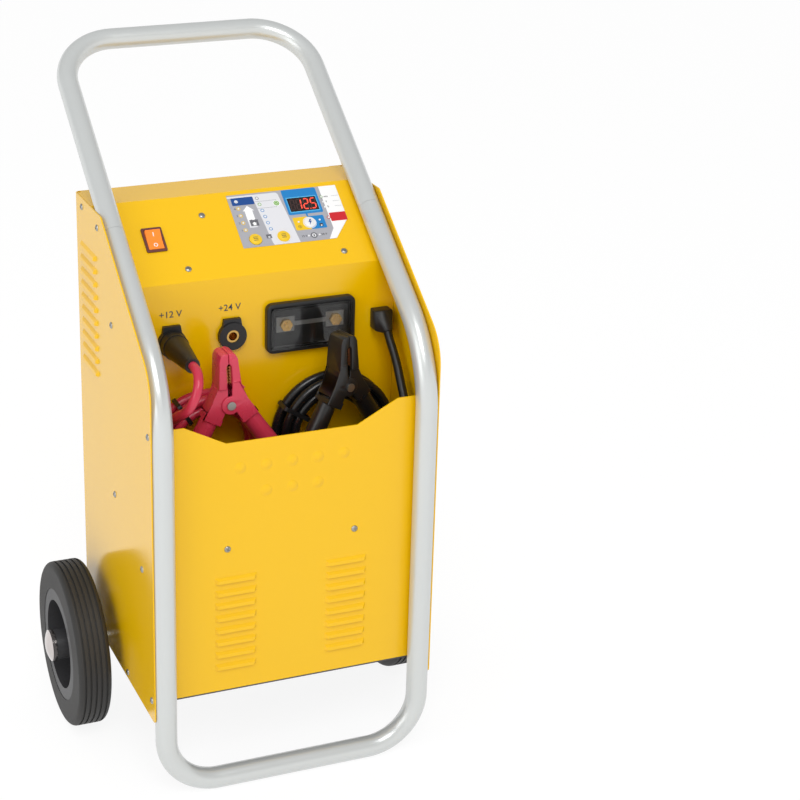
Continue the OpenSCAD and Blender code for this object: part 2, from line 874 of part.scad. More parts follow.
module pocket_front() {
  color("gold") placed()
    difference() {
      union() {
        translate([0, front_y + sheet_t, 0])
          rotate([90, 0, 0])
            linear_extrude(sheet_t)
              polygon(front_edge);
        translate([-inner_x, front_y, base_z + sheet_gap])
          cube([2 * inner_x, 16, sheet_t]);
        for (at = dimples)
          on_wall(at, front_y)
            dimple();
        front_louvres()
          louvre_hood(front_louvre_l);
      }
      front_louvres()
        louvre_mouth(front_louvre_l);
      front_screw_holes();
    }
}

module pocket_floor() {
  back = front_y + sheet_t;
  color("gold") placed()
    difference() {
      union() {
        translate([-inner_x, back, pocket_floor_z - sheet_t])
          cube([2 * inner_x, wall_y + sheet_t - back, sheet_t]);
        translate([-inner_x, back, pocket_floor_z - sheet_t])
          cube([2 * inner_x, sheet_t, 14]);
        both_sides()
          translate([inner_x - sheet_t, back + 6, pocket_floor_z - 24])
            cube([sheet_t, 60, 24]);
      }
      front_screw_holes();
      side_screw_holes();
      translate([lead_gland_at[0], lead_gland_at[1], pocket_floor_z])
        rod(lead_r + 2.5, 4 * sheet_t);
    }
}

// ---- fasteners ----

module pan_screw(l) {
  ball_r = (screw_head_d * screw_head_d / 4 + screw_head_h * screw_head_h) / (2 * screw_head_h);
  translate([0, 0, -l])
    cylinder(d = screw_d, h = l + screw_head_h / 2);
  difference() {
    intersection() {
      cylinder(d = screw_head_d, h = screw_head_h);
      translate([0, 0, screw_head_h - ball_r])
        sphere(ball_r);
    }
    for (a = [0, 90])
      rotate([0, 0, a])
        translate([0, 0, screw_head_h])
          centred_slab(4, 1, 2);
  }
}

module case_screws() {
  color("silver") placed() {
    both_sides()
      for (at = side_screws)
        on_side(at, out_x)
          pan_screw(screw_len);
    for (at = front_screws)
      on_wall(at, front_y)
        pan_screw(2 * sheet_t + seat);
    at_rear_screws()
      pan_screw(screw_len - 3);
    for (at = panel_screws)
      on_panel(at)
        translate([0, 0, lay])
          pan_screw(board_drop + 1);
  }
}

// ---- wheels ----

module axle() {
  color("silver") placed()
    on_axle(0)
      rod(axle_r, 2 * (cap_x + 1));
}

module axle_brackets() {
  w = 24;
  plate_t = 3;
  high = skirt_h - sheet_t;
  color("dimgray") placed()
    both_sides()
      translate([inner_x - 40, axle_y, axle_z])
        difference() {
          union() {
            rotate([0, 90, 0])
              rod(axle_r + 4, w);
            translate([-w / 2, -axle_r - 4, 0])
              cube([w, 2 * axle_r + 8, high]);
            translate([-w / 2, -axle_r - 16, high - plate_t])
              cube([w, 2 * axle_r + 32, plate_t]);
          }
          rotate([0, 90, 0])
            rod(axle_r + seat / 2, w + 2 * cut);
        }
}

module axle_spacers() {
  color("silver") placed()
    both_sides()
      on_axle(out_x + sheet_gap)
        ring(axle_r + 4, axle_r + seat / 2, tyre_x - out_x - sheet_gap - 0.5);
}

module tyre() {
  shoulder = 7;
  tread = wheel_d / 2;
  groove_w = 2.4;
  groove = 1.8;
  pitch = (tyre_w - 2 * shoulder) / 4;
  rotate_extrude($fn = 96)
    difference() {
      union() {
        translate([rim_seat_r, 0])
          square([tread - rim_seat_r - shoulder, tyre_w]);
        translate([rim_seat_r, shoulder])
          square([tread - rim_seat_r, tyre_w - 2 * shoulder]);
        for (x = [shoulder, tyre_w - shoulder])
          translate([tread - shoulder, x])
            circle(shoulder);
      }
      for (i = [0:4])
        translate([tread - groove, shoulder + i * pitch - groove_w / 2])
          square([groove + cut, groove_w]);
    }
}

module rim() {
  web_t = 5;
  web_z = tyre_w / 4;
  hub_l = cap_x - tyre_x - 2.5;
  spoke_w = 5;
  difference() {
    union() {
      translate([0, 0, 0.5])
        ring(rim_seat_r - seat, rim_dish_r, tyre_w - 1);
      translate([0, 0, web_z])
        ring(rim_dish_r + 1, axle_r + 5, web_t);
      cylinder(r = axle_r + 8, h = hub_l);
      for (a = [0:60:300])
        rotate([0, 0, a])
          translate([axle_r + 4, -spoke_w / 2, web_z - 6])
            cube([rim_dish_r - axle_r - 3, spoke_w, tyre_w / 2]);
    }
    translate([0, 0, -cut])
      cylinder(r = axle_r + run, h = hub_l + 2 * cut);
    for (a = [30:60:330])
      rotate([0, 0, a])
        translate([(rim_dish_r + axle_r + 8) / 2, 0, 0])
          rod(7, 4 * tyre_w);
  }
}

module right_tyre() {
  color([0.12, 0.12, 0.13]) placed()
    on_axle(tyre_x)
      tyre();
}

module left_tyre() {
  color([0.12, 0.12, 0.13]) placed()
    mirror([1, 0, 0])
      on_axle(tyre_x)
        tyre();
}

module right_rim() {
  color([0.2, 0.2, 0.21]) placed()
    on_axle(tyre_x)
      rim();
}

module left_rim() {
  color([0.2, 0.2, 0.21]) placed()
    mirror([1, 0, 0])
      on_axle(tyre_x)
        rim();
}

module axle_caps() {
  skirt = 5;
  dome = 5;
  ball_r = (cap_d * cap_d / 4 + dome * dome) / (2 * dome);
  color("silver") placed()
    both_sides()
      on_axle(cap_x - 2)
        difference() {
          intersection() {
            cylinder(d = cap_d, h = skirt + dome);
            translate([0, 0, skirt + dome - ball_r])
              sphere(ball_r);
          }
          translate([0, 0, -cut])
            cylinder(r = axle_r + seat / 2, h = 3.4 + cut);
        }
}

// ---- controls ----

module at_buttons() {
  for (at = [charge_at, timer_at])
    on_panel(at)
      let ($button_d = button_d) children();
  on_panel(start_at)
    let ($button_d = start_d) children();
}

module rocker_bezel() {
  body_w = rocker_w - 3.6;
  color([0.15, 0.1, 0.08]) placed()
    on_panel(rocker_at)
      difference() {
        union() {
          translate([0, 0, lay])
            round_slab(rocker_w, rocker_h, 2, 2);
          translate([0, 0, -16])
            slab(body_w, rocker_h - 3.6, 16.5);
        }
        translate([0, 0, -14])
          slab(rocker_well_w, rocker_h - 6, 20);
        translate([0, 0, -rocker_pivot])
          rotate([0, 90, 0])
            rod(1.5 + run, body_w - 0.9);
      }
}

module power_rocker() {
  w = rocker_well_w - 0.8;
  half_h = rocker_h / 2 - 4.5;
  color([0.95, 0.45, 0.15]) placed()
    on_panel(rocker_at)
      translate([0, 0, -rocker_pivot])
        rotate([rocker_tilt / 2, 0, 0])
          rotate([0, 90, 0]) {
            rod(1.5, rocker_well_w + 1);
            translate([0, 0, -w / 2])
              linear_extrude(w)
                polygon([
                  [4, -5], [4, 5], [-4, half_h], [-8, half_h], [-6.4, 0], [-8, -half_h], [-4, -half_h]
                ]);
          }
}

module panel_overlay() {
  left = overlay_x[0];
  right = overlay_x[1];
  top = -overlay_v[0];
  low = -overlay_v[1];
  color([0.8, 0.82, 0.85]) placed()
    difference() {
      on_panel([0, 0])
        translate([0, 0, lay])
          linear_extrude(overlay_t)
          polygon([
            [left, top], [left, low], [right - overlay_cut, low],
            [right, low + 1.2 * overlay_cut], [right, top]
          ]);
      at_buttons()
        rod(($button_d + 0.6) / 2, 4);
      for (at = lights)
        on_panel(at)
          rod((light_d + 0.3) / 2, 4);
    }
}

module display_module() {
  color([0.1, 0.03, 0.03]) placed()
    on_panel(display_at)
      translate([0, 0, lay - board_drop])
        slab(display_w - 0.4, display_h - 0.4, board_drop - 0.1);
}

module round_button(d) {
  rise = 2.4;
  translate([0, 0, -7.5])
    cylinder(d = d - 3, h = 7);
  translate([0, 0, -1.2])
    cylinder(d = d, h = rise);
  intersection() {
    translate([0, 0, 1])
      cylinder(d = d, h = 2);
    translate([0, 0, rise - d])
      sphere(d);
  }
}

module charge_button() {
  color("gold") placed()
    on_panel(charge_at)
      round_button(button_d);
}

module timer_button() {
  color("gold") placed()
    on_panel(timer_at)
      round_button(button_d);
}

module start_button() {
  color("white") placed()
    on_panel(start_at)
      round_button(start_d);
}

module status_lights() {
  color("white") placed()
    for (at = lights)
      on_panel(at)
        translate([0, 0, lay - board_drop])
          cylinder(d = light_d, h = board_drop + 0.8, $fn = 16);
}

module control_board() {
  left = -52;
  right = 128;
  high = 8;
  low = 110;
  color("darkgreen") placed() {
    difference() {
      union() {
        on_panel([0, 0])
          translate([left, -low, -board_drop - board_t])
            cube([right - left, low - high, board_t]);
        at_buttons()
          translate([0, 0, -board_drop])
            slab(6, 6, board_drop - 7.5 - button_travel - sheet_gap);
        for (at = [[-30, 75], [-30, 95], [60, 98]])
          on_panel(at)
            translate([0, 0, -board_drop - 14])
              slab(18, 12, 14);
      }
      for (at = panel_screws)
        on_panel(at)
          rod(screw_hole_r, 4 * board_drop);
    }
    // spacers round the two screws that hold the board
    for (i = [0, 2])
      on_panel(panel_screws[i])
        translate([0, 0, -board_drop])
          ring(screw_hole_r + 2, screw_hole_r, board_drop - sheet_t - lay);
  }
}

// ---- sockets and fuse ----

module socket_bodies() {
  flat = socket_d * 0.36;
  color([0.12, 0.12, 0.13]) placed()
    for (x = socket_x)
      on_wall([x, socket_z], wall_y)
        difference() {
          union() {
            cylinder(d = socket_d, h = socket_out);
            linear_extrude(5)
              polygon([
                [-flat, socket_d * 0.3], [-flat * 0.85, socket_d / 2 + 4],
                [flat * 0.85, socket_d / 2 + 4], [flat, socket_d * 0.3]
              ]);
            translate([0, 0, -24])
              cylinder(d = socket_d - 9, h = 25);
          }
          translate([0, 0, -25])
            cylinder(d = socket_hole_d + 5.2, h = 25 + socket_out + cut);
        }
}

module socket_inserts() {
  color("goldenrod") placed()
    for (x = socket_x)
      on_wall([x, socket_z], wall_y)
        difference() {
          translate([0, 0, -32])
            cylinder(d = socket_hole_d + 5, h = 31 + socket_out);
          translate([0, 0, -20])
            cylinder(d = socket_hole_d, h = 20 + socket_out);
        }
}

module lead_plug() {
  color([0.12, 0.12, 0.13]) placed()
    on_wall([socket_x[0], socket_z], plug_face_y)
      difference() {
        union() {
          cylinder(r = plug_r1, h = plug_collar);
          translate([0, 0, plug_collar])
            cylinder(r1 = plug_r1 - 0.8, r2 = plug_r2, h = plug_l - plug_collar);
        }
        translate([0, 0, -cut])
          cylinder(r = plug_pin_r + seat, h = plug_pin_in + seat + cut);
      }
}

module lead_plug_pin() {
  color("goldenrod") placed()
    on_wall([socket_x[0], socket_z], plug_face_y)
      union() {
        translate([0, 0, -18])
          cylinder(d = socket_hole_d - 0.3, h = 18 - seat);
        translate([0, 0, -cut])
          cylinder(r = plug_pin_r, h = plug_pin_in + cut);
      }
}

module at_fuse_studs() {
  for (x = [-fuse_pitch / 2, fuse_pitch / 2])
    on_wall([fuse_at[0] + x, fuse_at[1] + fuse_stud_up], wall_y)
      children();
}

module fuse_base() {
  color([0.15, 0.15, 0.16]) placed()
    difference() {
      on_wall(fuse_at, wall_y)
        slab(fuse_w - 12, fuse_h - 12, 3);
      at_fuse_studs()
        translate([0, 0, 1])
          cylinder(r = stud_r + 0.3, h = 4);
    }
}

module fuse_strip() {
  color("silver") placed()
    difference() {
      union() {
        at_fuse_studs()
          translate([0, 0, 3])
            slab(22, 18, 1.2);
        on_wall([fuse_at[0], fuse_at[1] + fuse_stud_up], wall_y)
          translate([0, 0, 3])
            slab(fuse_pitch, 5, 1.2);
      }
      at_fuse_studs()
        rod(stud_r + 0.3, 20);
    }
}

module fuse_nuts() {
  color("goldenrod") placed()
    at_fuse_studs() {
      translate([0, 0, 1])
        cylinder(r = stud_r, h = fuse_face - 0.2);
      translate([0, 0, 4.4])
        cylinder(d = 15, h = fuse_face - 4.4, $fn = 6);
    }
}

module fuse_frame() {
  color([0.1, 0.1, 0.11]) placed()
    on_wall(fuse_at, wall_y)
      difference() {
        round_slab(fuse_w, fuse_h, fuse_face, 8);
        translate([0, 0, -cut])
          slab(fuse_w - 11.4, fuse_h - 11.4, fuse_face + 2 * cut);
      }
}

module fuse_cover() {
  color([0.8, 0.85, 0.9, 0.4]) placed()
    on_wall(fuse_at, wall_y)
      difference() {
        union() {
          translate([0, 0, fuse_face + sheet_gap])
            round_slab(fuse_w - 9, fuse_h - 9, 2.3, 5);
          translate([0, 0, fuse_face - 4])
            slab(fuse_w - 12, fuse_h - 12, 5);
        }
        translate([0, 0, fuse_face - 5])
          slab(fuse_w - 15, fuse_h - 15, 6.2);
      }
}

// ---- cords ----

module mains_gland() {
  start = mains_route_in[0];
  way = unit(mains_route_in[1] - start);
  color([0.1, 0.1, 0.1]) placed()
    hull() {
      on_wall(gland_at, wall_y)
        slab(gland_w, gland_h, 14);
      translate(start - (1 + lay) * way)
        rotate([0, acos(way[2]), atan2(way[1], way[0])])
          cylinder(r = mains_r + 1.2, h = 1, $fn = 24);
    }
}

module mains_cable() {
  color([0.08, 0.08, 0.08]) placed() {
    sweep(mains_route_in, mains_r, tube_sides, [1, 0, 0]);
    sweep(mains_route_out, mains_r, tube_sides, [0, 0, 1]);
  }
}

module mains_hank() {
  color([0.08, 0.08, 0.08]) placed()
    sweep(hank_route, mains_r, coil_sides, [1, 0, 0]);
}

module mains_plug() {
  color([0.1, 0.1, 0.1]) placed()
    translate(mains_plug_at)
      rotate([0, -90, 0]) {
        cylinder(r1 = mains_r + 1.5, r2 = 12, h = 20);
        translate([0, 0, 20])
          cylinder(r = mains_plug_r, h = 18);
        for (y = [-9.5, 9.5])
          translate([0, y, 36])
            cylinder(d = 4.8, h = 21);
      }
}

// A flat band round a bundle w by h
module band(w, h, l) {
  t = 1.2;
  difference() {
    translate([0, 0, -l / 2])
      round_slab(w + 2 * t, h + 2 * t, l, 4);
    translate([0, 0, -l])
      round_slab(w, h, 2 * l, 4 - t);
  }
}

module coil_tie(x, angle, r_in, r_out) {
  translate([x, (coil_front_y + coil_back_y) / 2, coil_top_z])
    rotate([0, -angle, 0])
      translate([(r_in + r_out) / 2, 0, 0])
        band(r_out - r_in, lead_step + lead_d + seat, 5);
}

module cable_ties() {
  color([0.08, 0.08, 0.08]) placed() {
    coil_tie(red_coil_x, 122, coil_axis_r - 2.35 * lead_step, coil_axis_r + 0.1 * lead_step);
    coil_tie(black_coil_x, 148, coil_axis_r - 2.6 * lead_step, coil_axis_r + 0.45 * lead_step);
    translate([0, hank_y + mains_step / 2, hank_z - mains_step / 8])
      rotate([90, 0, 90])
        band(mains_step + mains_d + seat, hank_tie_h, hank_tie_l);
  }
}

module lead_gland() {
  at = lead_gland_at;
  color([0.1, 0.1, 0.1]) placed()
    translate([at[0], at[1], pocket_floor_z - sheet_t]) {
      translate([0, 0, -6])
        cylinder(r = lead_r + 4.5, h = 6);
      cylinder(r = lead_r + 2.3, h = sheet_t);
      translate([0, 0, sheet_t])
        cylinder(r1 = lead_r + 4.5, r2 = lead_r + 2, h = lead_gland_h);
    }
}

module red_lead() {
  color([0.85, 0.1, 0.12]) placed() {
    sweep(red_route_in, lead_r, tube_sides, [1, 0, 0]);
    sweep(red_route_out, lead_r, tube_sides, [0, 1, 0]);
  }
}

module red_lead_coil() {
  color([0.85, 0.1, 0.12]) placed()
    sweep(red_coil_route, lead_r, coil_sides, [0, 1, 0]);
}

module black_lead() {
  color([0.1, 0.1, 0.1]) placed() {
    sweep(black_route_in, lead_r, tube_sides, [1, 0, 0]);
    sweep(black_route_out, lead_r, tube_sides, [0, 1, 0]);
  }
}

module black_lead_coil() {
  color([0.1, 0.1, 0.1]) placed()
    sweep(black_coil_route, lead_r, coil_sides, [0, 1, 0]);
}

// ---- clamps ----

// A clamp's own frame has its pin on Y, its nose up and its fixed half on the left
module on_clamp(at, yaw, tilt) {
  translate(at)
    rotate([0, 0, yaw])
      rotate([0, tilt, 0])
        children();
}

module on_red_clamp() {
  on_clamp(red_clamp_at, red_yaw, red_tilt)
    mirror([1, 0, 0])
      children();
}

module on_black_clamp() {
  on_clamp(black_clamp_at, black_yaw, black_tilt)
    children();
}

// A flat shape in X and Z, from depth y back by t
module flat_xz(y, t) {
  translate([0, y + t, 0])
    rotate([90, 0, 0])
      linear_extrude(t)
        children();
}

// A point beside a left handle's axis, at length l down from the height of the pin
function collar(x, l) =
  [x * cos(grip_angle) - l * sin(grip_angle) - grip_off, -x * sin(grip_angle) - l * cos(grip_angle)];

// The left half of a clamp, whose two cheeks lie between the depths `near` and `far`
module clamp_half(near, far) {
  side = nose_w / 2;
  step = 0.1; // from the cheeks' faces in to the nose's
  difference() {
    union() {
      flat_xz(step - cheek_out, 2 * (cheek_out - step))
        polygon([
          [-side - 1.5, nose_low], [-side, nose_l - 22], [-side + 1, nose_l - 7], [-side + 3.5, nose_l - 2],
          [-side + 7, nose_l], [-0.3, nose_l], [-0.3, nose_l - 12], [-jaw_x, nose_l - 15], [-jaw_x, nose_low]
        ]);
      for (y = [-far, near])
        flat_xz(y, far - near) {
          circle(hub_r);
          polygon([
            [1 - side, nose_low + 8], [-jaw_x, nose_low + 8], [-1, 0],
            collar(grip_r1, grip_start + 8), collar(-grip_r1, grip_start + 8), collar(-grip_r1, 0)
          ]);
        }
      translate([-grip_off, 0, 0])
        rotate([0, grip_angle, 0]) {
          translate([0, 0, -grip_l])
            cylinder(r1 = grip_r2, r2 = grip_r1, h = grip_l - grip_start);
          translate([-grip_r1, step - far, -grip_start - 7])
            cube([2 * grip_r1, 2 * (far - step), 6]);
        }
    }
    rotate([90, 0, 0])
      rod(pin_r + run, 4 * clamp_depth);
  }
}

module fixed_half() {
  clamp_half(cheek_out - cheek_t, cheek_out);
}

module moving_half() {
  mirror([1, 0, 0])
    clamp_half(cheek_in - cheek_t, cheek_in);
}

// Toothed copper on a nose's inner face
module jaw() {
  low = nose_low + 5;
  high = nose_l - 16;
  teeth = 6;
  step = (high - low) / teeth;
  flat_xz(-clamp_depth * 0.32, clamp_depth * 0.64)
    polygon(concat(
      [[lay - jaw_x, low], [lay - jaw_x, high]],
      [for (i = [teeth - 1:-1:0])
        each [[-jaw_x + 2.6, low + (i + 0.8) * step], [-jaw_x + 1.2, low + i * step]]]
    ));
}

module red_clamp_fixed() {
  color([0.85, 0.1, 0.12]) placed()
    on_red_clamp()
      fixed_half();
}

module red_clamp_moving() {
  color([0.85, 0.1, 0.12]) placed()
    on_red_clamp()
      moving_half();
}

module red_moving_jaw() {
  color("orange") placed()
    on_red_clamp()
      mirror([1, 0, 0])
        jaw();
}

module black_clamp_fixed() {
  color([0.12, 0.12, 0.13]) placed()
    on_black_clamp()
      fixed_half();
}

module black_clamp_moving() {
  color([0.12, 0.12, 0.13]) placed()
    on_black_clamp()
      moving_half();
}

module black_moving_jaw() {
  color("orange") placed()
    on_black_clamp()
      mirror([1, 0, 0])
        jaw();
}

module fixed_jaws() {
  color("orange") placed() {
    on_red_clamp()
      jaw();
    on_black_clamp()
      jaw();
  }
}

module clamp_pin() {
  rotate([90, 0, 0]) {
    rod(pin_r, 2 * cheek_out + 2);
    for (side = [-1, 1])
      translate([0, 0, side * (cheek_out + 1)])
        rod(pin_r + 2, 1.8);
  }
}

module clamp_pins() {
  color("silver") placed() {
    on_red_clamp()
      clamp_pin();
    on_black_clamp()
      clamp_pin();
  }
}

// The spring's turns round a clamp's pin
spring_wire = 1.8;
spring_turns = 4;
spring_steps = 8;
spring_route = [
  for (i = [0:spring_turns * spring_steps])
    let (a = 360 * i / spring_steps, r = pin_r + 0.5 + spring_wire / 2)
    [r * cos(a), (i / spring_steps - spring_turns / 2) * (spring_wire + wind_gap), r * sin(a)]
];

module clamp_springs() {
  color("gray") placed() {
    on_red_clamp()
      sweep(spring_route, spring_wire / 2, coil_sides, [0, 1, 0]);
    on_black_clamp()
      sweep(spring_route, spring_wire / 2, coil_sides, [0, 1, 0]);
  }
}

// ---- inside the case ----

module transformer_core() {
  a = core_leg;
  color("gray") placed()
    translate([-3 * a, core_y - core_depth / 2, base_z])
      difference() {
        cube([6 * a, core_depth, 5 * a]);
        for (x = [a, 4 * a])
          translate([x, -cut, a])
            cube([a, core_depth + 2 * cut, 3 * a]);
      }
}

module transformer_windings() {
  a = core_leg;
  color("darkred") placed()
    translate([0, core_y, base_z + a + 1])
      difference() {
        round_slab(4 * a - 2, core_depth + 1.7 * a, 3 * a - 2, 8);
        translate([0, 0, -cut])
          slab(2 * a + 2 * seat, core_depth + 2 * seat, 3 * a + 2 * cut);
      }
}

module rectifier_bracket() {
  color("silver") placed()
    difference() {
      union() {
        translate([-inner_x, wall_y + 4, rectifier_z])
          cube([2 * inner_x, 104, sheet_t]);
        both_sides()
          translate([inner_x - sheet_t, wall_y + 4, rectifier_z])
            cube([sheet_t, 26, 26]);
      }
      side_screw_holes();
    }
}

module rectifier() {
  w = 120;
  l = 90;
  fins = 9;
  color("lightgray") placed()
    translate([0, wall_y + 10 + l / 2, rectifier_z + sheet_t]) {
      slab(w, l, 6);
      for (i = [0:fins - 1])
        translate([(i - (fins - 1) / 2) * (w - 3) / (fins - 1), 0, 5])
          slab(3, l, 26);
    }
}

lower_frame();
handle_tube();
handle_spigots();
left_side_panel();
right_side_panel();
fascia();
rear_panel();
base_plate();
pocket_front();
pocket_floor();
axle_brackets();
axle();
axle_spacers();
left_tyre();
right_tyre();
left_rim();
right_rim();
axle_caps();
case_screws();
rocker_bezel();
power_rocker();
panel_overlay();
display_module();
charge_button();
timer_button();
start_button();
status_lights();
socket_bodies();
socket_inserts();
lead_plug();
lead_plug_pin();
fuse_base();
fuse_strip();
fuse_nuts();
fuse_frame();
fuse_cover();
mains_gland();
mains_cable();
mains_hank();
mains_plug();
cable_ties();
lead_gland();
red_lead();
red_lead_coil();
red_clamp_fixed();
red_clamp_moving();
red_moving_jaw();
black_lead();
black_lead_coil();
black_clamp_fixed();
black_clamp_moving();
black_moving_jaw();
fixed_jaws();
clamp_pins();
clamp_springs();
transformer_core();
transformer_windings();
rectifier();
rectifier_bracket();
control_board();
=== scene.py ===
import math

import bmesh
import bpy
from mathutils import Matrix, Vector


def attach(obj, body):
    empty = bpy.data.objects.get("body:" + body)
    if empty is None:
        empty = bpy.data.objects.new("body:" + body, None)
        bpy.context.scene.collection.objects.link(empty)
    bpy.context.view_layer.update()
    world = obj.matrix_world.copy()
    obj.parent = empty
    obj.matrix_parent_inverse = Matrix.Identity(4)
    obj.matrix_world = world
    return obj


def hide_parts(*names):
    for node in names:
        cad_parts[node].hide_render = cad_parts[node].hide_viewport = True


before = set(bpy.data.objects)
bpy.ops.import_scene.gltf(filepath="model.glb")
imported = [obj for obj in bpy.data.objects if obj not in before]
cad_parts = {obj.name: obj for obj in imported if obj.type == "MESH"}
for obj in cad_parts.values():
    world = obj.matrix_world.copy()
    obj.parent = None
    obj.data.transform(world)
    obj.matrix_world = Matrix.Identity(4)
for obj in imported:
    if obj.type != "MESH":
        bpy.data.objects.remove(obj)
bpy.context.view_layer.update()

# ---- Camera ----
# The camera looks down on the charger's left front corner. Its sensor is shifted,
# because the charger stands left of the middle of the picture.

LEAN = math.radians(54)  # of the control panel and the upper tube, from upright
TUBE_R = 12.5
BEND_Z = 502  # where the uprights begin to lean
GRIP_Z = 810
FRAME_Y = -0.5 * (GRIP_Z - TUBE_R - BEND_Z) * math.tan(LEAN)  # the uprights' axis


def place(x, y, z):
    """A point in metres, from millimetres right of the middle, behind the uprights and above the floor."""
    return Vector((x, y + FRAME_Y, z)) / 1000


camera = bpy.data.objects.new("camera", bpy.data.cameras.new("camera"))
bpy.context.scene.collection.objects.link(camera)
camera.location = place(-715.7, -1797.85, 1283.5)
LOOKS_DOWN, LOOKS_RIGHT = 19.77, 19.64
camera.rotation_euler = (math.radians(90 - LOOKS_DOWN), 0, math.radians(-LOOKS_RIGHT))
camera.data.lens = 86.12
camera.data.shift_x = 0.2072
camera.data.shift_y = -0.125
bpy.context.scene.camera = camera
bpy.context.scene.view_settings.view_transform = "Standard"

# ---- Studio ----
# A pale floor and a white room. The room is white to the camera and to whatever
# is glossy, dimmer overhead, and a little darker to whatever it lights.


def shade(code):
    """A colour of the shader from a hexadecimal colour of the screen."""
    parts = [int(code[i:i + 2], 16) / 255 for i in (0, 2, 4)]
    return tuple(c / 12.92 if c < 0.04045 else ((c + 0.055) / 1.055) ** 2.4 for c in parts) + (1,)


def new_material(name):
    """A new material, its node tree and its Principled BSDF."""
    material = bpy.data.materials.new(name)
    material.use_nodes = True
    tree = material.node_tree
    surface = tree.nodes["Principled BSDF"]
    return material, tree, surface


def add(tree, kind, inputs=(), **settings):
    """A new node of that kind in a tree. Its inputs are values, colours or sockets, by name or number."""
    node = tree.nodes.new(kind)
    for key, value in settings.items():
        setattr(node, key, value)
    for key, value in dict(inputs).items():
        if isinstance(value, bpy.types.NodeSocket):
            tree.links.new(value, node.inputs[key])
        else:
            node.inputs[key].default_value = value
    return node


WALL_FOOT, WALL_TOP = 0.12, 0.34  # where a mirrored ray sees the white wall begin to dim, and end
CEILING, ROOM_LIGHT = 0.5, 0.68
world = bpy.data.worlds.new("white room")
bpy.context.scene.world = world
world.use_nodes = True
tree = world.node_tree
tree.nodes.clear()
rays = add(tree, "ShaderNodeLightPath")
way = add(tree, "ShaderNodeTexCoord")
up = add(tree, "ShaderNodeSeparateXYZ", {0: way.outputs["Generated"]})
wall = add(tree, "ShaderNodeMapRange", {
    "Value": up.outputs["Z"], "From Min": WALL_FOOT, "From Max": WALL_TOP, "To Min": 1.0, "To Max": CEILING})
mirrored = add(tree, "ShaderNodeMath", {
    0: rays.outputs["Is Glossy Ray"], 1: rays.outputs["Is Transmission Ray"]}, operation="MAXIMUM")
unlit = add(tree, "ShaderNodeMix", {"Factor": mirrored.outputs[0], "A": ROOM_LIGHT, "B": wall.outputs[0]})
level = add(tree, "ShaderNodeMath", {
    0: unlit.outputs[0], 1: rays.outputs["Is Camera Ray"]}, operation="MAXIMUM")
room = add(tree, "ShaderNodeBackground", {"Color": (1, 1, 1, 1), "Strength": level.outputs[0]})
add(tree, "ShaderNodeOutputWorld", {"Surface": room.outputs[0]})

FLOOR_HALF = 30
FLOOR_GREY = (0.9, 0.9, 0.9, 1)
FLOOR_GLOW, GLOW_SHARE = 1.05, 0.84
floor_mesh = bpy.data.meshes.new("floor")
floor_mesh.from_pydata([
    (-FLOOR_HALF, -FLOOR_HALF, 0), (FLOOR_HALF, -FLOOR_HALF, 0),
    (FLOOR_HALF, FLOOR_HALF, 0), (-FLOOR_HALF, FLOOR_HALF, 0)], [], [(0, 1, 2, 3)])
floor = bpy.data.objects.new("floor", floor_mesh)
bpy.context.scene.collection.objects.link(floor)
floor_material, tree, surface = new_material("pale floor")
tree.nodes.remove(surface)
matt = add(tree, "ShaderNodeBsdfDiffuse", {"Color": FLOOR_GREY})
glow = add(tree, "ShaderNodeEmission", {"Color": (1, 1, 1, 1), "Strength": FLOOR_GLOW})
rays = add(tree, "ShaderNodeLightPath")
shown = add(tree, "ShaderNodeMath", {
    0: rays.outputs["Is Camera Ray"], 1: rays.outputs["Is Glossy Ray"]}, operation="MAXIMUM")
share = add(tree, "ShaderNodeMath", {0: shown.outputs[0], 1: GLOW_SHARE}, operation="MULTIPLY")
mixed = add(tree, "ShaderNodeMixShader", {0: share.outputs[0], 1: matt.outputs[0], 2: glow.outputs[0]})
tree.links.new(mixed.outputs[0], tree.nodes["Material Output"].inputs["Surface"])
floor_mesh.materials.append(floor_material)


def soft_light(name, where, at, size, power):
    """A square lamp with its face turned to a point of the charger."""
    lamp = bpy.data.lights.new(name, "AREA")
    lamp.size = size
    lamp.energy = power
    thing = bpy.data.objects.new(name, lamp)
    thing.location = where
    thing.rotation_euler = (Vector(at) - Vector(where)).to_track_quat("-Z", "Y").to_euler()
    bpy.context.scene.collection.objects.link(thing)


CASE_MIDDLE = (0, 0, 0.4)
soft_light("key", (-0.6, -2.4, 2.9), CASE_MIDDLE, 1.5, 45)
soft_light("fill", (-2.6, -1.4, 1.5), CASE_MIDDLE, 1.8, 17)

# ---- Battery and mains leads ----
# Two thick copper leads in glossy sheaths, coiled in the pocket, and the thinner
# mains lead, folded behind the pocket's front. Each is drawn as one whole lead.

LEAD_R = 5.5
MAINS_R = 5.0
WIND_GAP = 0.6  # between turns that lie side by side, and beside the sheet
LEAD_STEP = 2 * LEAD_R + WIND_GAP
MAINS_STEP = 2 * MAINS_R + WIND_GAP
WALL_Y = 125.4  # the recessed wall
FRONT_Y = 14  # the pocket's front
SHEET_T = 1.5
FLOOR_Z = 290 + 0.4  # the pocket's floor, with the room that the leads leave over it
COIL_OUT_R = 77
COIL_R = COIL_OUT_R - LEAD_R
COIL_OFF_WALL = 11.4
COIL_BACK = WALL_Y - COIL_OFF_WALL
COIL_FRONT = COIL_BACK - LEAD_STEP
COIL_TOP = 379  # the middle of a coil's upper half
COIL_LOW = FLOOR_Z + COIL_OUT_R
COIL_END = COIL_LOW - COIL_R
RED_COIL_X, BLACK_COIL_X = -67, 88.5
TURN_POINTS = 24
GO_OVER = 0.5  # turns that a winding takes to go over from one layer to the next


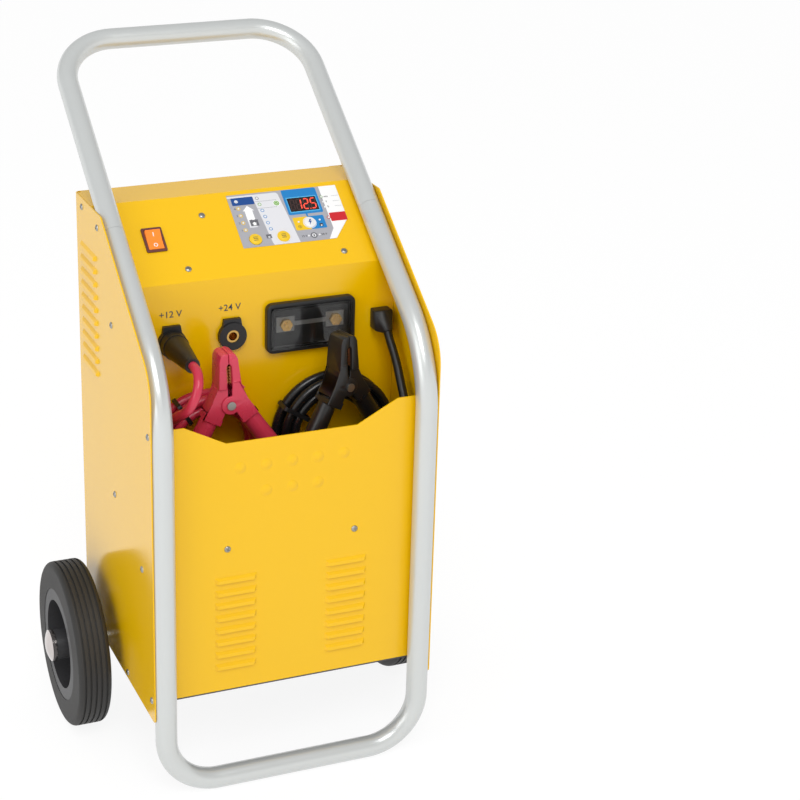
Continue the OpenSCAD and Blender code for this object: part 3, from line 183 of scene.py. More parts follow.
def layer(u, turns):
    """How far a winding has gone over from its first layer to its second after u turns."""
    q = min(1, max(0, (u - turns / 2 + GO_OVER / 2) / GO_OVER))
    return (1 - math.cos(math.pi * q)) / 2


def coil(turns, x, first, last, way):
    """The axis of a flat coil that is wound inwards in one layer and outwards in the next."""
    points = [(x - COIL_R, first, COIL_TOP - way * 2 * LEAD_R)]
    for i in range(int(turns * TURN_POINTS) + 1):
        u = i / TURN_POINTS
        a = math.pi - way * math.tau * u
        r = COIL_R - LEAD_STEP * min(u, turns - u)
        z = COIL_TOP if math.sin(a) >= -0.001 else COIL_LOW  # a coil is taller than it is wide
        points.append((x + r * math.cos(a), first + (last - first) * layer(u, turns), z + r * math.sin(a)))
    return points + [(x - way * 2 * LEAD_R, last, COIL_END)]


HANK_HALF, HANK_R, HANK_WAIST, HANK_TURNS = 90, 52, 17, 3.25
HANK_Y = FRONT_Y + 2 * SHEET_T + WIND_GAP + MAINS_R
HANK_Z = FLOOR_Z + HANK_R + MAINS_R


def hank():
    """The axis of the folded mains lead: two half circles and two runs, drawn in at the tie.

    A turn has 24 steps: four round the first quarter, four along the lower run, eight round
    the other end, four along the upper run and four back to the start.
    """
    points = []
    for i in range(int(round((HANK_TURNS - 1 / 12) * TURN_POINTS)) + 1):
        u = i / TURN_POINTS
        q = i % TURN_POINTS
        r = HANK_R - MAINS_STEP * min(u, HANK_TURNS - u)
        y = HANK_Y + MAINS_STEP * layer(u, HANK_TURNS)
        run = HANK_HALF * (1 - (q - 4 if q < 12 else 20 - q) / 2)
        waist = HANK_WAIST * (1 + math.cos(math.pi * run / HANK_HALF)) / 2
        if q <= 4:
            a = math.radians(22.5 * q)
            points.append((HANK_HALF + r * math.cos(a), y, HANK_Z - r * math.sin(a)))
        elif q < 8:
            points.append((run, y, HANK_Z - r + waist))
        elif q <= 16:
            a = math.radians(22.5 * (q - 8))
            points.append((-HANK_HALF - r * math.sin(a), y, HANK_Z - r * math.cos(a)))
        elif q < 20:
            points.append((run, y, HANK_Z + r - waist))
        else:
            a = math.radians(22.5 * (q - 20))
            points.append((HANK_HALF + r * math.sin(a), y, HANK_Z + r * math.cos(a)))
    return points


GRIP_L = 80.02
GRIP_OFF = 12  # how far a handle's axis passes beside its clamp's pin
GRIP_ANGLE = math.radians(31)


def as_clamp(x, z, yaw, tilt):
    """Right and up in a clamp's own plane, turned as the clamp stands in the pocket."""
    yaw, tilt = math.radians(yaw), math.radians(tilt)
    u = x * math.cos(tilt) + z * math.sin(tilt)
    return Vector((u * math.cos(yaw), u * math.sin(yaw), z * math.cos(tilt) - x * math.sin(tilt)))


RED_AT, RED_YAW, RED_TILT = Vector((-55, 76, 448)), 0, -3
BLACK_AT, BLACK_YAW, BLACK_TILT = Vector((82, 67, 454)), 15, -2
red_way = as_clamp(math.sin(GRIP_ANGLE), -math.cos(GRIP_ANGLE), RED_YAW, RED_TILT)
black_way = as_clamp(-math.sin(GRIP_ANGLE), -math.cos(GRIP_ANGLE), BLACK_YAW, BLACK_TILT)
red_end = RED_AT + as_clamp(GRIP_OFF, 0, RED_YAW, RED_TILT) + GRIP_L * red_way
black_end = BLACK_AT + as_clamp(-GRIP_OFF, 0, BLACK_YAW, BLACK_TILT) + GRIP_L * black_way
red_in = RED_COIL_X - COIL_R
black_in = BLACK_COIL_X - COIL_R
SOCKET_OUT, PLUG_GAP, PLUG_L = 7, 0.3, 70
PLUG_END = WALL_Y - SOCKET_OUT - PLUG_GAP - PLUG_L
LAST_RUN = 15  # the straight end of a lead, inside its clamp's handle

red_route = [
    (-105, PLUG_END - 0.02, 508),
    (-105, 40, 508), (-105.3, 31.8, 506.5), (-106.5, 24.5, 502.4), (-108.6, 19.1, 496), (-111.5, 16.3, 488),
    (-115, 16.4, 479.6), (-118, 19.4, 471.7), (-120.7, 25, 465), (-124, 34.3, 458), (-127, 44, 450.8),
    (-130, 53.8, 443.4), (-132.5, 63.5, 436.2), (-134.7, 73.3, 428.8), (-136.5, 83, 421.5),
    (-138, 92.8, 414.2), (red_in, 98.1, 408.7), (red_in, 101.3, 402.1), (red_in, COIL_FRONT, 395),
] + coil(4.25, RED_COIL_X, COIL_FRONT, COIL_BACK, -1) + [
    (-45, COIL_BACK, COIL_END), (-33, 113, 296), (-22, 109.5, 296.3), (-11.5, 103.5, 297.5),
    (-1.5, 96.5, 301.5), (7.5, 90, 308.5), (14.5, 84.5, 318), (18.8, 80.5, 329), (20.2, 77.8, 340.5),
    (18.8, 76.3, 352), (14.6, 76, 361.5), tuple(red_end + LAST_RUN * red_way), tuple(red_end),
]
black_route = [(black_in, COIL_BACK, 299), (black_in, COIL_BACK, 330)] + coil(
    4.75, BLACK_COIL_X, COIL_BACK, COIL_FRONT, 1) + [
    (67, COIL_FRONT, COIL_END), (55.5, 99.5, 296.2), (45, 93, 298), (35.5, 85, 302.5), (28, 76.5, 309.5),
    (22.5, 68.5, 318.5), (19.5, 61.5, 329), (18.8, 56.3, 340.5), (20.2, 53, 352), (22.6, 52, 361.5),
    tuple(black_end + LAST_RUN * black_way), tuple(black_end),
]
out_y = HANK_Y + MAINS_STEP
out_z = HANK_Z - HANK_R + MAINS_STEP / 12
mains_route = [
    (151, 101, 497), (152, 96, 488), (153.5, 88, 476), (154.5, 80, 463.5), (154.5, 71.5, 451),
    (154.2, 62.8, 439), (153.6, 54.2, 427.5), (152.5, 46.2, 416.5), (150.8, 38.8, 405.5), (148.2, 32.2, 394),
    (144.7, 26.7, 382.1), (142.7, 23.65, 372.6),
    (HANK_HALF + HANK_R, HANK_Y, HANK_Z + 15), (HANK_HALF + HANK_R, HANK_Y, HANK_Z + 10),
] + hank() + [
    (80, out_y, out_z), (70, out_y, out_z), (58, 35, 297.5), (46, 39.5, 300), (34, 46, 303),
    (22, 53, 306), (11, 59.5, 308.5), (-1, 64, 309.3), (-13.98, 65, 309.3),
]


def lead(name, route, r, material):
    """A round lead as one curve through its route, and its length in metres."""
    curve = bpy.data.curves.new(name, "CURVE")
    curve.dimensions = "3D"
    curve.bevel_depth = r / 1000
    curve.bevel_resolution = 4
    curve.resolution_u = 5
    curve.use_fill_caps = True
    line = curve.splines.new("BEZIER")
    line.bezier_points.add(len(route) - 1)
    for knot, point in zip(line.bezier_points, route):
        knot.co = place(*point)
        knot.handle_left_type = knot.handle_right_type = "AUTO"
    thing = bpy.data.objects.new(name, curve)
    bpy.context.scene.collection.objects.link(thing)
    curve.materials.append(material)
    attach(thing, "charger")
    return thing, line.calc_length()


def film_group():
    """Unevenness of a smooth skin, from place to place: in its colour, its roughness and its height."""
    group = bpy.data.node_groups.new("uneven skin", "ShaderNodeTree")
    sockets = (
        ("Colour", "NodeSocketColor", (0.5, 0.5, 0.5, 1)),
        ("Tone", "NodeSocketFloat", 0.06),
        ("Patch", "NodeSocketFloat", 9.0),
        ("Rough", "NodeSocketFloat", 0.3),
        ("Smudge", "NodeSocketFloat", 0.06),
        ("Grain", "NodeSocketFloat", 900.0),
    )
    for name, kind, value in sockets:
        socket = group.interface.new_socket(name, in_out="INPUT", socket_type=kind)
        socket.default_value = value
    group.interface.new_socket("Colour", in_out="OUTPUT", socket_type="NodeSocketColor")
    for name in ("Rough", "Height"):
        group.interface.new_socket(name, in_out="OUTPUT", socket_type="NodeSocketFloat")
    given = group.nodes.new("NodeGroupInput")
    made = group.nodes.new("NodeGroupOutput")
    where = add(group, "ShaderNodeTexCoord").outputs["Object"]
    patches = add(group, "ShaderNodeTexNoise", {
        "Vector": where, "Scale": given.outputs["Patch"], "Detail": 4.0, "Roughness": 0.6})
    grain = add(group, "ShaderNodeTexNoise", {
        "Vector": where, "Scale": given.outputs["Grain"], "Detail": 2.0})
    swing = add(group, "ShaderNodeMath", {0: patches.outputs[0], 1: 0.5}, operation="SUBTRACT")
    darker = add(group, "ShaderNodeMath", {
        0: swing.outputs[0], 1: given.outputs["Tone"], 2: 1.0}, operation="MULTIPLY_ADD")
    tone = add(group, "ShaderNodeVectorMath", {
        0: given.outputs["Colour"], "Scale": darker.outputs[0]}, operation="SCALE")
    rough = add(group, "ShaderNodeMath", {
        0: swing.outputs[0], 1: given.outputs["Smudge"], 2: given.outputs["Rough"]}, operation="MULTIPLY_ADD")
    group.links.new(tone.outputs[0], made.inputs["Colour"])
    group.links.new(rough.outputs[0], made.inputs["Rough"])
    group.links.new(grain.outputs[0], made.inputs["Height"])
    return group


uneven = film_group()


def skin(name, colour, rough, tone, patch, smudge, grain, relief, metallic=0.0, coat=0.0, coat_rough=0.05):
    """A finish with a little unevenness in its colour, in patches, in its gloss, and a fine grain over it."""
    material, tree, surface = new_material(name)
    film = add(tree, "ShaderNodeGroup", node_tree=uneven)
    for key, value in (("Colour", shade(colour)), ("Tone", tone), ("Patch", patch), ("Rough", rough),
                       ("Smudge", smudge), ("Grain", grain)):
        film.inputs[key].default_value = value
    bump = add(tree, "ShaderNodeBump", {
        "Strength": relief, "Distance": 0.001, "Height": film.outputs["Height"]})
    tree.links.new(film.outputs["Colour"], surface.inputs["Base Color"])
    tree.links.new(film.outputs["Rough"], surface.inputs["Roughness"])
    tree.links.new(bump.outputs[0], surface.inputs["Normal"])
    surface.inputs["Metallic"].default_value = metallic
    surface.inputs["Coat Weight"].default_value = coat
    surface.inputs["Coat Roughness"].default_value = coat_rough
    return material


red_sheath = skin("red sheath", "C8304A", rough=0.3, tone=0.25, patch=40, smudge=0.15, grain=400, relief=0.08)
black_sheath = skin("black sheath", "161617", rough=0.27, tone=0.4, patch=40, smudge=0.15, grain=400,
                    relief=0.08)
mains_sheath = skin("mains sheath", "151515", rough=0.4, tone=0.4, patch=40, smudge=0.1, grain=700,
                    relief=0.1)

red_lead, red_l = lead("red_battery_lead", red_route, LEAD_R, red_sheath)
black_lead, black_l = lead("black_battery_lead", black_route, LEAD_R, black_sheath)
mains_lead, mains_l = lead("mains_lead", mains_route, MAINS_R, mains_sheath)
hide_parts("red_lead", "red_lead_coil")
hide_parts("black_lead", "black_lead_coil")
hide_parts("mains_cable", "mains_hank")
place(*mains_route[0])


def finish_with(material, *nodes):
    """Gives CAD pieces their finish."""
    for node in nodes:
        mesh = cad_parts[node].data
        mesh.materials.clear()
        mesh.materials.append(material)


black_plastic = skin("black plastic", "1A1A1B", rough=0.42, tone=0.3, patch=25, smudge=0.1, grain=2600,
                     relief=0.15)
finish_with(black_plastic, "cable_ties")

# ---- Frame ----
# One bent steel tube makes the uprights, the foot bar and the lower half of the lean, and a
# second one the rest with the grip. Spigots inside join them. The paint is a smooth silver grey.

tube_paint = skin("silver tube paint", "D2D5D4", rough=0.3, tone=0.05, patch=6, smudge=0.1, grain=1400,
                  relief=0.03, metallic=0.4, coat=0.3, coat_rough=0.08)
zinc = skin("zinc plate", "A9A9A6", rough=0.34, tone=0.2, patch=60, smudge=0.2, grain=1500, relief=0.05,
            metallic=1.0)
finish_with(tube_paint, "lower_frame", "handle_tube")
finish_with(zinc, "handle_spigots")

# ---- Case ----
# Folded and pressed steel sheet, all under one glossy yellow powder coat: the sides, the
# top with the recessed wall, the back and the pocket. The base with the axle's brackets is grey.

yellow = skin("yellow powder coat", "F4C000", rough=0.16, tone=0.03, patch=3.5, smudge=0.05, grain=420,
              relief=0.012)
base_grey = skin("base grey", "4A4A4C", rough=0.5, tone=0.2, patch=14, smudge=0.1, grain=900, relief=0.1)
finish_with(yellow, "left_side_panel", "right_side_panel", "fascia", "rear_panel", "pocket_front",
            "pocket_floor")
finish_with(base_grey, "base_plate", "axle_brackets")

# ---- Case screws ----
# Pan-headed steel screws with a cross recess, zinc plated. One goes through each hole of the
# case, and no two stopped at the same turn.

SCREW_HEAD_D, SCREW_HEAD_H = 0.008, 0.0024  # of the CAD's plain head, which the finer one stays inside
SCREW_PLAY = 0.0002
RIM = 0.4  # of the head's diameter: what is further out belongs to its edge
WELD = 2e-6  # nearer than this, two corners of a CAD mesh are one


def screw_seats(node):
    """Where the CAD's screws sit on the sheet, and the way in which each head looks."""
    net = bmesh.new()
    net.from_mesh(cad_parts[node].data)
    bmesh.ops.remove_doubles(net, verts=net.verts[:], dist=WELD)
    ways = (Vector((1, 0, 0)), Vector((0, 1, 0)), Vector((0, -math.cos(LEAN), math.sin(LEAN))))
    seats = []
    left = set(net.verts)
    while left:
        island, edge = set(), [left.pop()]
        while edge:
            vertex = edge.pop()
            island.add(vertex.co.copy().freeze())
            near = {e.other_vert(vertex) for e in vertex.link_edges} & left
            left -= near
            edge += near
        for way in ways:
            across = way.orthogonal().normalized()
            sides = (across, way.cross(across))
            spans = [(min(c.dot(d) for c in island), max(c.dot(d) for c in island)) for d in sides]
            if any(abs(high - low - SCREW_HEAD_D) > SCREW_PLAY for low, high in spans):
                continue
            middle = sum((d * (low + high) / 2 for d, (low, high) in zip(sides, spans)), Vector())
            rim = [c.dot(way) for c in island
                   if (c - middle - way * c.dot(way)).length > RIM * SCREW_HEAD_D]
            ends = min(c.dot(way) for c in island), max(c.dot(way) for c in island)
            out = 1 if 2 * sum(rim) / len(rim) > sum(ends) else -1
            under_head = ends[1] - SCREW_HEAD_H if out > 0 else ends[0] + SCREW_HEAD_H
            seats.append((middle + way * under_head, way * out))
            break
    net.free()
    return seats


RECESS_ACROSS = 0.56  # of the head's diameter
SHANK_IN_HEAD = 0.0003


def screw_tree(material):
    """Geometry Nodes that set a cross-headed screw on every point, turned at random about its own axis."""
    group = bpy.data.node_groups.new("screw on each point", "GeometryNodeTree")
    group.interface.new_socket("Points", in_out="INPUT", socket_type="NodeSocketGeometry")
    for name in ("Head diameter", "Head height", "Shank diameter", "Shank length", "Recess width"):
        group.interface.new_socket(name, in_out="INPUT", socket_type="NodeSocketFloat")
    group.interface.new_socket("Screws", in_out="OUTPUT", socket_type="NodeSocketGeometry")
    given = group.nodes.new("NodeGroupInput")
    made = group.nodes.new("NodeGroupOutput")

    def maths(operation, a, b):
        return add(group, "ShaderNodeMath", {0: a, 1: b}, operation=operation).outputs[0]

    def vector(x, y, z):
        return add(group, "ShaderNodeCombineXYZ", {"X": x, "Y": y, "Z": z}).outputs[0]

    def moved(thing, z):
        return add(group, "GeometryNodeTransform", {
            "Geometry": thing.outputs["Mesh"], "Translation": vector(0.0, 0.0, z)})

    wide = given.outputs["Head diameter"]
    high = given.outputs["Head height"]
    slot = given.outputs["Recess width"]
    ball = add(group, "GeometryNodeMeshUVSphere", {
        "Segments": 32, "Rings": 16, "Radius": maths("MULTIPLY", wide, 0.5)})
    flat = maths("DIVIDE", maths("MULTIPLY", high, 2.0), wide)
    dome = add(group, "GeometryNodeTransform", {
        "Geometry": ball.outputs["Mesh"], "Scale": vector(1.0, 1.0, flat)})
    below = add(group, "GeometryNodeMeshCube", {"Size": vector(wide, wide, wide)})
    cutters = [moved(below, maths("MULTIPLY", wide, -0.5))]
    arm = maths("MULTIPLY", wide, RECESS_ACROSS)
    for size in (vector(arm, slot, high), vector(slot, arm, high)):
        cutters.append(moved(add(group, "GeometryNodeMeshCube", {"Size": size}), high))
    head = add(group, "GeometryNodeMeshBoolean", {"Mesh 1": dome.outputs[0]}, operation="DIFFERENCE")
    for cutter in cutters:
        group.links.new(cutter.outputs[0], head.inputs["Mesh 2"])
    shank_r = maths("MULTIPLY", given.outputs["Shank diameter"], 0.5)
    shank_l = given.outputs["Shank length"]
    shank = add(group, "GeometryNodeMeshCylinder", {"Vertices": 20, "Depth": shank_l, "Radius": shank_r})
    shank = moved(shank, maths("SUBTRACT", SHANK_IN_HEAD, maths("MULTIPLY", shank_l, 0.5)))
    screw = add(group, "GeometryNodeJoinGeometry")
    for part in (head, shank):
        group.links.new(part.outputs[0], screw.inputs[0])
    way = add(group, "GeometryNodeInputNamedAttribute", {"Name": "way"}, data_type="FLOAT_VECTOR")
    stood = add(group, "FunctionNodeAlignRotationToVector", {"Vector": way.outputs[0]}, axis="Z")
    chance = add(group, "FunctionNodeRandomValue", {"Seed": 7}, data_type="FLOAT")
    angle = maths("MULTIPLY", chance.outputs[1], math.pi / 2)
    spin = add(group, "FunctionNodeAxisAngleToRotation", {"Axis": (0.0, 0.0, 1.0), "Angle": angle})
    turned = add(group, "FunctionNodeRotateRotation", {
        0: stood.outputs[0], 1: spin.outputs[0]}, rotation_space="LOCAL")
    spread = add(group, "GeometryNodeInstanceOnPoints", {
        "Points": given.outputs["Points"], "Instance": screw.outputs[0], "Rotation": turned.outputs[0]})
    real = add(group, "GeometryNodeRealizeInstances", {0: spread.outputs[0]})
    finished = add(group, "GeometryNodeSetMaterial", {"Geometry": real.outputs[0], "Material": material})
    group.links.new(finished.outputs[0], made.inputs[0])
    return group


def grown(name, points, tree, **sizes):
    """The plain mesh that Geometry Nodes make of an object with those points."""
    thing = bpy.data.objects.new(name, points)
    bpy.context.scene.collection.objects.link(thing)
    grow = thing.modifiers.new(name, "NODES")
    grow.node_group = tree
    for socket in tree.interface.items_tree:
        key = socket.name.lower().replace(" ", "_")
        if socket.in_out == "INPUT" and key in sizes:
            grow[socket.identifier] = sizes[key]
    mesh = bpy.data.meshes.new_from_object(thing.evaluated_get(bpy.context.evaluated_depsgraph_get()))
    thing.modifiers.clear()
    thing.data = mesh
    mesh.shade_smooth()
    mesh.set_sharp_from_angle(angle=math.radians(35))
    return thing


seats = screw_seats("case_screws")
points = bpy.data.meshes.new("screw seats")
points.from_pydata([seat for seat, way in seats], [], [])
ways = points.attributes.new("way", "FLOAT_VECTOR", "POINT")
ways.data.foreach_set("vector", [c for seat, way in seats for c in way])
case_screws = grown("cross_head_screws", points, screw_tree(zinc), head_diameter=0.0078, head_height=0.0021,
                    shank_diameter=0.004, shank_length=0.0058, recess_width=0.0011)
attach(case_screws, "charger")
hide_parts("case_screws")

# ---- Wheels and axle ----
# Solid rubber tyres on moulded black rims. They turn on a zinc-plated steel axle between
# spacers, and bright domed caps pushed over its ends hold them.

rubber = skin("tyre rubber", "2B2A29", rough=0.62, tone=0.3, patch=18, smudge=0.15, grain=1500, relief=0.25)
rim_plastic = skin("rim plastic", "3A3A3C", rough=0.45, tone=0.25, patch=20, smudge=0.12, grain=2000,
                   relief=0.15)
chrome = skin("bright cap", "CFC8C6", rough=0.1, tone=0.3, patch=55, smudge=0.1, grain=160, relief=0.25,
              metallic=1.0)
finish_with(rubber, "left_tyre", "right_tyre")
finish_with(rim_plastic, "left_rim", "right_rim")
finish_with(chrome, "axle_caps")
finish_with(zinc, "axle", "axle_spacers")

# ---- Switch ----
# A lit rocker of clear orange plastic that tips in a brown frame, which snaps into the sheet.
# Its marks are printed in white on the rocker's two halves.

TOP_FOLD = 265.5  # along the lean, from the bend of the uprights
PANEL_UNDER = 13  # how far the panel's face lies below the axis of the leaning tubes


def panel_point(x, down, up):
    """A point of the control panel: right of the middle, down from its top fold and out of its face."""
    y = PANEL_UNDER * math.cos(LEAN) + (TOP_FOLD - down) * math.sin(LEAN) - up * math.cos(LEAN)
    z = BEND_Z - PANEL_UNDER * math.sin(LEAN) + (TOP_FOLD - down) * math.cos(LEAN) + up * math.sin(LEAN)
    return place(x, y, z)


def rounded(left, top, right, low, r=0.0, n=4):
    """A rectangle with rounded corners, from its left and top to its right and low edges."""
    points = []
    corners = ((right - r, low - r), (left + r, low - r), (left + r, top + r), (right - r, top + r))
    for quarter, (cx, cy) in enumerate(corners):
        for i in range(n + 1 if r else 1):
            a = math.radians(90 * quarter + 90 * i / n)
            points.append((cx + r * math.cos(a), cy + r * math.sin(a)))
    return points


def disc(x, y, r, n=24):
    """A round patch."""
    return [(x + r * math.cos(math.tau * i / n), y + r * math.sin(math.tau * i / n)) for i in range(n)]


def hoop(x, y, inner, outer, n=24):
    """A ring, as flat pieces between two circles."""
    a, b = disc(x, y, inner, n), disc(x, y, outer, n)
    return [[a[i], b[i], b[(i + 1) % n], a[(i + 1) % n]] for i in range(n)]


BOLDER = 0.012  # of the size, added all round each printed character


def words(text, x, y, size, anchor="CENTER"):
    """Printed characters as flat triangles, y down, centred on their line."""
    curve = bpy.data.curves.new("print", "FONT")
    curve.body = text
    curve.size = size
    curve.align_x = anchor
    curve.align_y = "CENTER"
    curve.offset = size * BOLDER
    curve.resolution_u = 3
    thing = bpy.data.objects.new("print", curve)
    bpy.context.scene.collection.objects.link(thing)
    bpy.context.view_layer.update()
    mesh = bpy.data.meshes.new_from_object(thing.evaluated_get(bpy.context.evaluated_depsgraph_get()))
    shapes = [[(x + mesh.vertices[i].co.x, y - mesh.vertices[i].co.y) for i in face.vertices]
              for face in mesh.polygons]
    bpy.data.objects.remove(thing)
    bpy.data.meshes.remove(mesh)
    return shapes


def print_on(name, body, to_face, prints, fine=0):
    """Thin printed shapes on a face. prints holds a finish, a height over the face and its shapes."""
    mesh = bpy.data.meshes.new(name)
    net = bmesh.new()
    finishes = []
    for finish, up, shapes in prints:
        if finish not in finishes:
            finishes.append(finish)
            mesh.materials.append(finish)
        for shape in shapes:
            if sum(p[0] * q[1] - q[0] * p[1] for p, q in zip(shape, shape[1:] + shape[:1])) > 0:
                shape = shape[::-1]
            face = net.faces.new([net.verts.new((x, y, up)) for x, y in shape])
            face.material_index = finishes.index(finish)
    bmesh.ops.triangulate(net, faces=net.faces[:])
    if fine:
        bmesh.ops.subdivide_edges(net, edges=net.edges[:], cuts=fine, use_grid_fill=True)
    for vertex in net.verts:
        vertex.co = to_face(*vertex.co)
    net.to_mesh(mesh)
    net.free()
    thing = bpy.data.objects.new(name, mesh)
    bpy.context.scene.collection.objects.link(thing)
    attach(thing, body)
    return thing


def lit_up(material, code, strength):
    """Makes a finish glow a little, like clear plastic with a lamp behind it."""
    surface = material.node_tree.nodes["Principled BSDF"]
    surface.inputs["Emission Color"].default_value = shade(code)
    surface.inputs["Emission Strength"].default_value = strength


switch_orange = skin("lit orange", "F07A14", rough=0.16, tone=0.35, patch=120, smudge=0.05, grain=1500,
                     relief=0.02)
lit_up(switch_orange, "FF9A50", 0.25)
switch_brown = skin("switch frame", "6A3B34", rough=0.25, tone=0.25, patch=60, smudge=0.1, grain=2600,
                    relief=0.05)
mark_white = skin("white print", "F4F4F2", rough=0.4, tone=0.03, patch=90, smudge=0.05, grain=2600,
                  relief=0.02)
finish_with(switch_orange, "power_rocker")


def softened(node, body, radius, material, slot, blocks=()):
    """A moulding drawn over its CAD piece, with the sharp edges rounded off.

    Each of the blocks, given by its eight corners, is moulded on.
    """
    net = bmesh.new()
    net.from_mesh(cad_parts[node].data)
    for corners in blocks:
        block = bmesh.ops.create_cube(net, size=1)["verts"]
        for vertex, corner in zip(block, corners):
            vertex.co = corner
        sides = {face for vertex in block for face in vertex.link_faces}
        bmesh.ops.recalc_face_normals(net, faces=list(sides))
    bmesh.ops.remove_doubles(net, verts=net.verts[:], dist=WELD)
    bmesh.ops.dissolve_limit(net, angle_limit=math.radians(2), verts=net.verts[:], edges=net.edges[:])
    net.verts.index_update()
    mesh = bpy.data.meshes.new(node + " moulding")
    mesh.from_pydata([v.co for v in net.verts], [], [[v.index for v in face.verts] for face in net.faces])
    net.free()
    thing = bpy.data.objects.new("soft_" + node, mesh)
    bpy.context.scene.collection.objects.link(thing)
    bevel = thing.modifiers.new("rounding", "BEVEL")
    bevel.width = radius
    bevel.segments = 3
    bevel.limit_method = "ANGLE"
    bevel.angle_limit = math.radians(35)
    bevel.use_clamp_overlap = False
    thing.data = bpy.data.meshes.new_from_object(thing.evaluated_get(bpy.context.evaluated_depsgraph_get()))
    thing.modifiers.clear()
    thing.data.shade_smooth()
    thing.data.set_sharp_from_angle(angle=math.radians(32))
    thing.data.materials.append(material)
    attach(thing, body)
    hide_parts(node)
    return thing


softened("rocker_bezel", "charger", 0.0006, switch_brown, "black_plastic")

ROCKER_X, ROCKER_DOWN = -108, 57.5
ROCKER_TILT = math.radians(8)
ROCKER_PIVOT = 4  # below the panel's face
ROCKER_LOW, ROCKER_RISE, ROCKER_HALF = 6.4, 1.6, 12.5


def rocker_point(x, y, up):
    """A point on the rocker's hollow face: right of its middle, down from its pivot's line."""
    z = ROCKER_LOW + ROCKER_RISE * abs(y) / ROCKER_HALF + up
    turned = -y * math.cos(ROCKER_TILT) - z * math.sin(ROCKER_TILT)
    out = -y * math.sin(ROCKER_TILT) + z * math.cos(ROCKER_TILT) - ROCKER_PIVOT
    return panel_point(ROCKER_X + x, ROCKER_DOWN - turned, out)


INK_UP = 0.05  # of a mark printed straight on a piece
switch_marks = print_on("switch_marks", "rocker", rocker_point, [
    (mark_white, INK_UP, [rounded(-0.5, -9.2, 0.5, -4.4)]),
    (mark_white, INK_UP, hoop(0, 7, 1.6, 2.5, 20)),
])

# ---- Control panel ----
# A film stuck over the sheet, with the buttons, lights and display standing in its holes. It is
# printed in flat colours, and names nothing but numbers and units.

film_grey = skin("printed film", "A9A9AF", rough=0.36, tone=0.03, patch=20, smudge=0.06, grain=2600,
                 relief=0.03)


def ink(name, code, rough=0.36):
    """A printed colour."""
    return skin(name, code, rough=rough, tone=0.04, patch=30, smudge=0.05, grain=2600, relief=0.02)


ink_pale = ink("pale ink", "DFDFE3")
ink_white = ink("white ink", "F6F6F6")
ink_dark = ink("dark ink", "3A3A3E")
ink_navy = ink("navy ink", "0F4890")
ink_blue = ink("blue ink", "0F7FC4")
ink_sky = ink("sky ink", "52B4E4")
ink_yellow = ink("yellow ink", "EFC40E")
ink_green = ink("green ink", "78B33A")
ink_red = ink("red ink", "CE1A26")
ink_grey = ink("grey ink", "66666C")
finish_with(film_grey, "panel_overlay")

FILM_TOP = 0.42  # just over the CAD's film
INK_T = 0.02
CHARGE_LIGHTS = [(2.6, 16 + 10.4 * i) for i in range(5)]
MODE_LIGHTS = [(29 + 0.8 * i, 14 + 9.1 * i) for i in range(6)]
UNIT_LIGHTS = [(107.5, 21.5), (107.5, 29), (107.5, 36.5)]
START_X, START_DOWN = 82.3, 56.5
CHARGE_X, TIMER_X, BUTTON_DOWN = 10.5, 45, 72


def battery(x, y, w, h):
    """A battery's outline with its two posts."""
    return [rounded(x - w / 2, y - h * 0.34, x + w / 2, y + h / 2),
            rounded(x - w * 0.55, y - h * 0.44, x + w * 0.55, y - h * 0.34),
            rounded(x - w * 0.36, y - h / 2, x - w * 0.14, y - h * 0.44),
            rounded(x + w * 0.14, y - h / 2, x + w * 0.36, y - h * 0.44)]


def house(x, y, w, h):
    """A short arrow that points up, like the outline of a house."""
    return [[(x, y - h / 2), (x + w / 2, y), (x + w * 0.3, y), (x + w * 0.3, y + h / 2),
             (x - w * 0.3, y + h / 2), (x - w * 0.3, y), (x - w / 2, y)]]


def round_all(at, inner, outer):
    """A ring round each light."""
    return [shape for x, y in at for shape in hoop(x, y, inner, outer)]


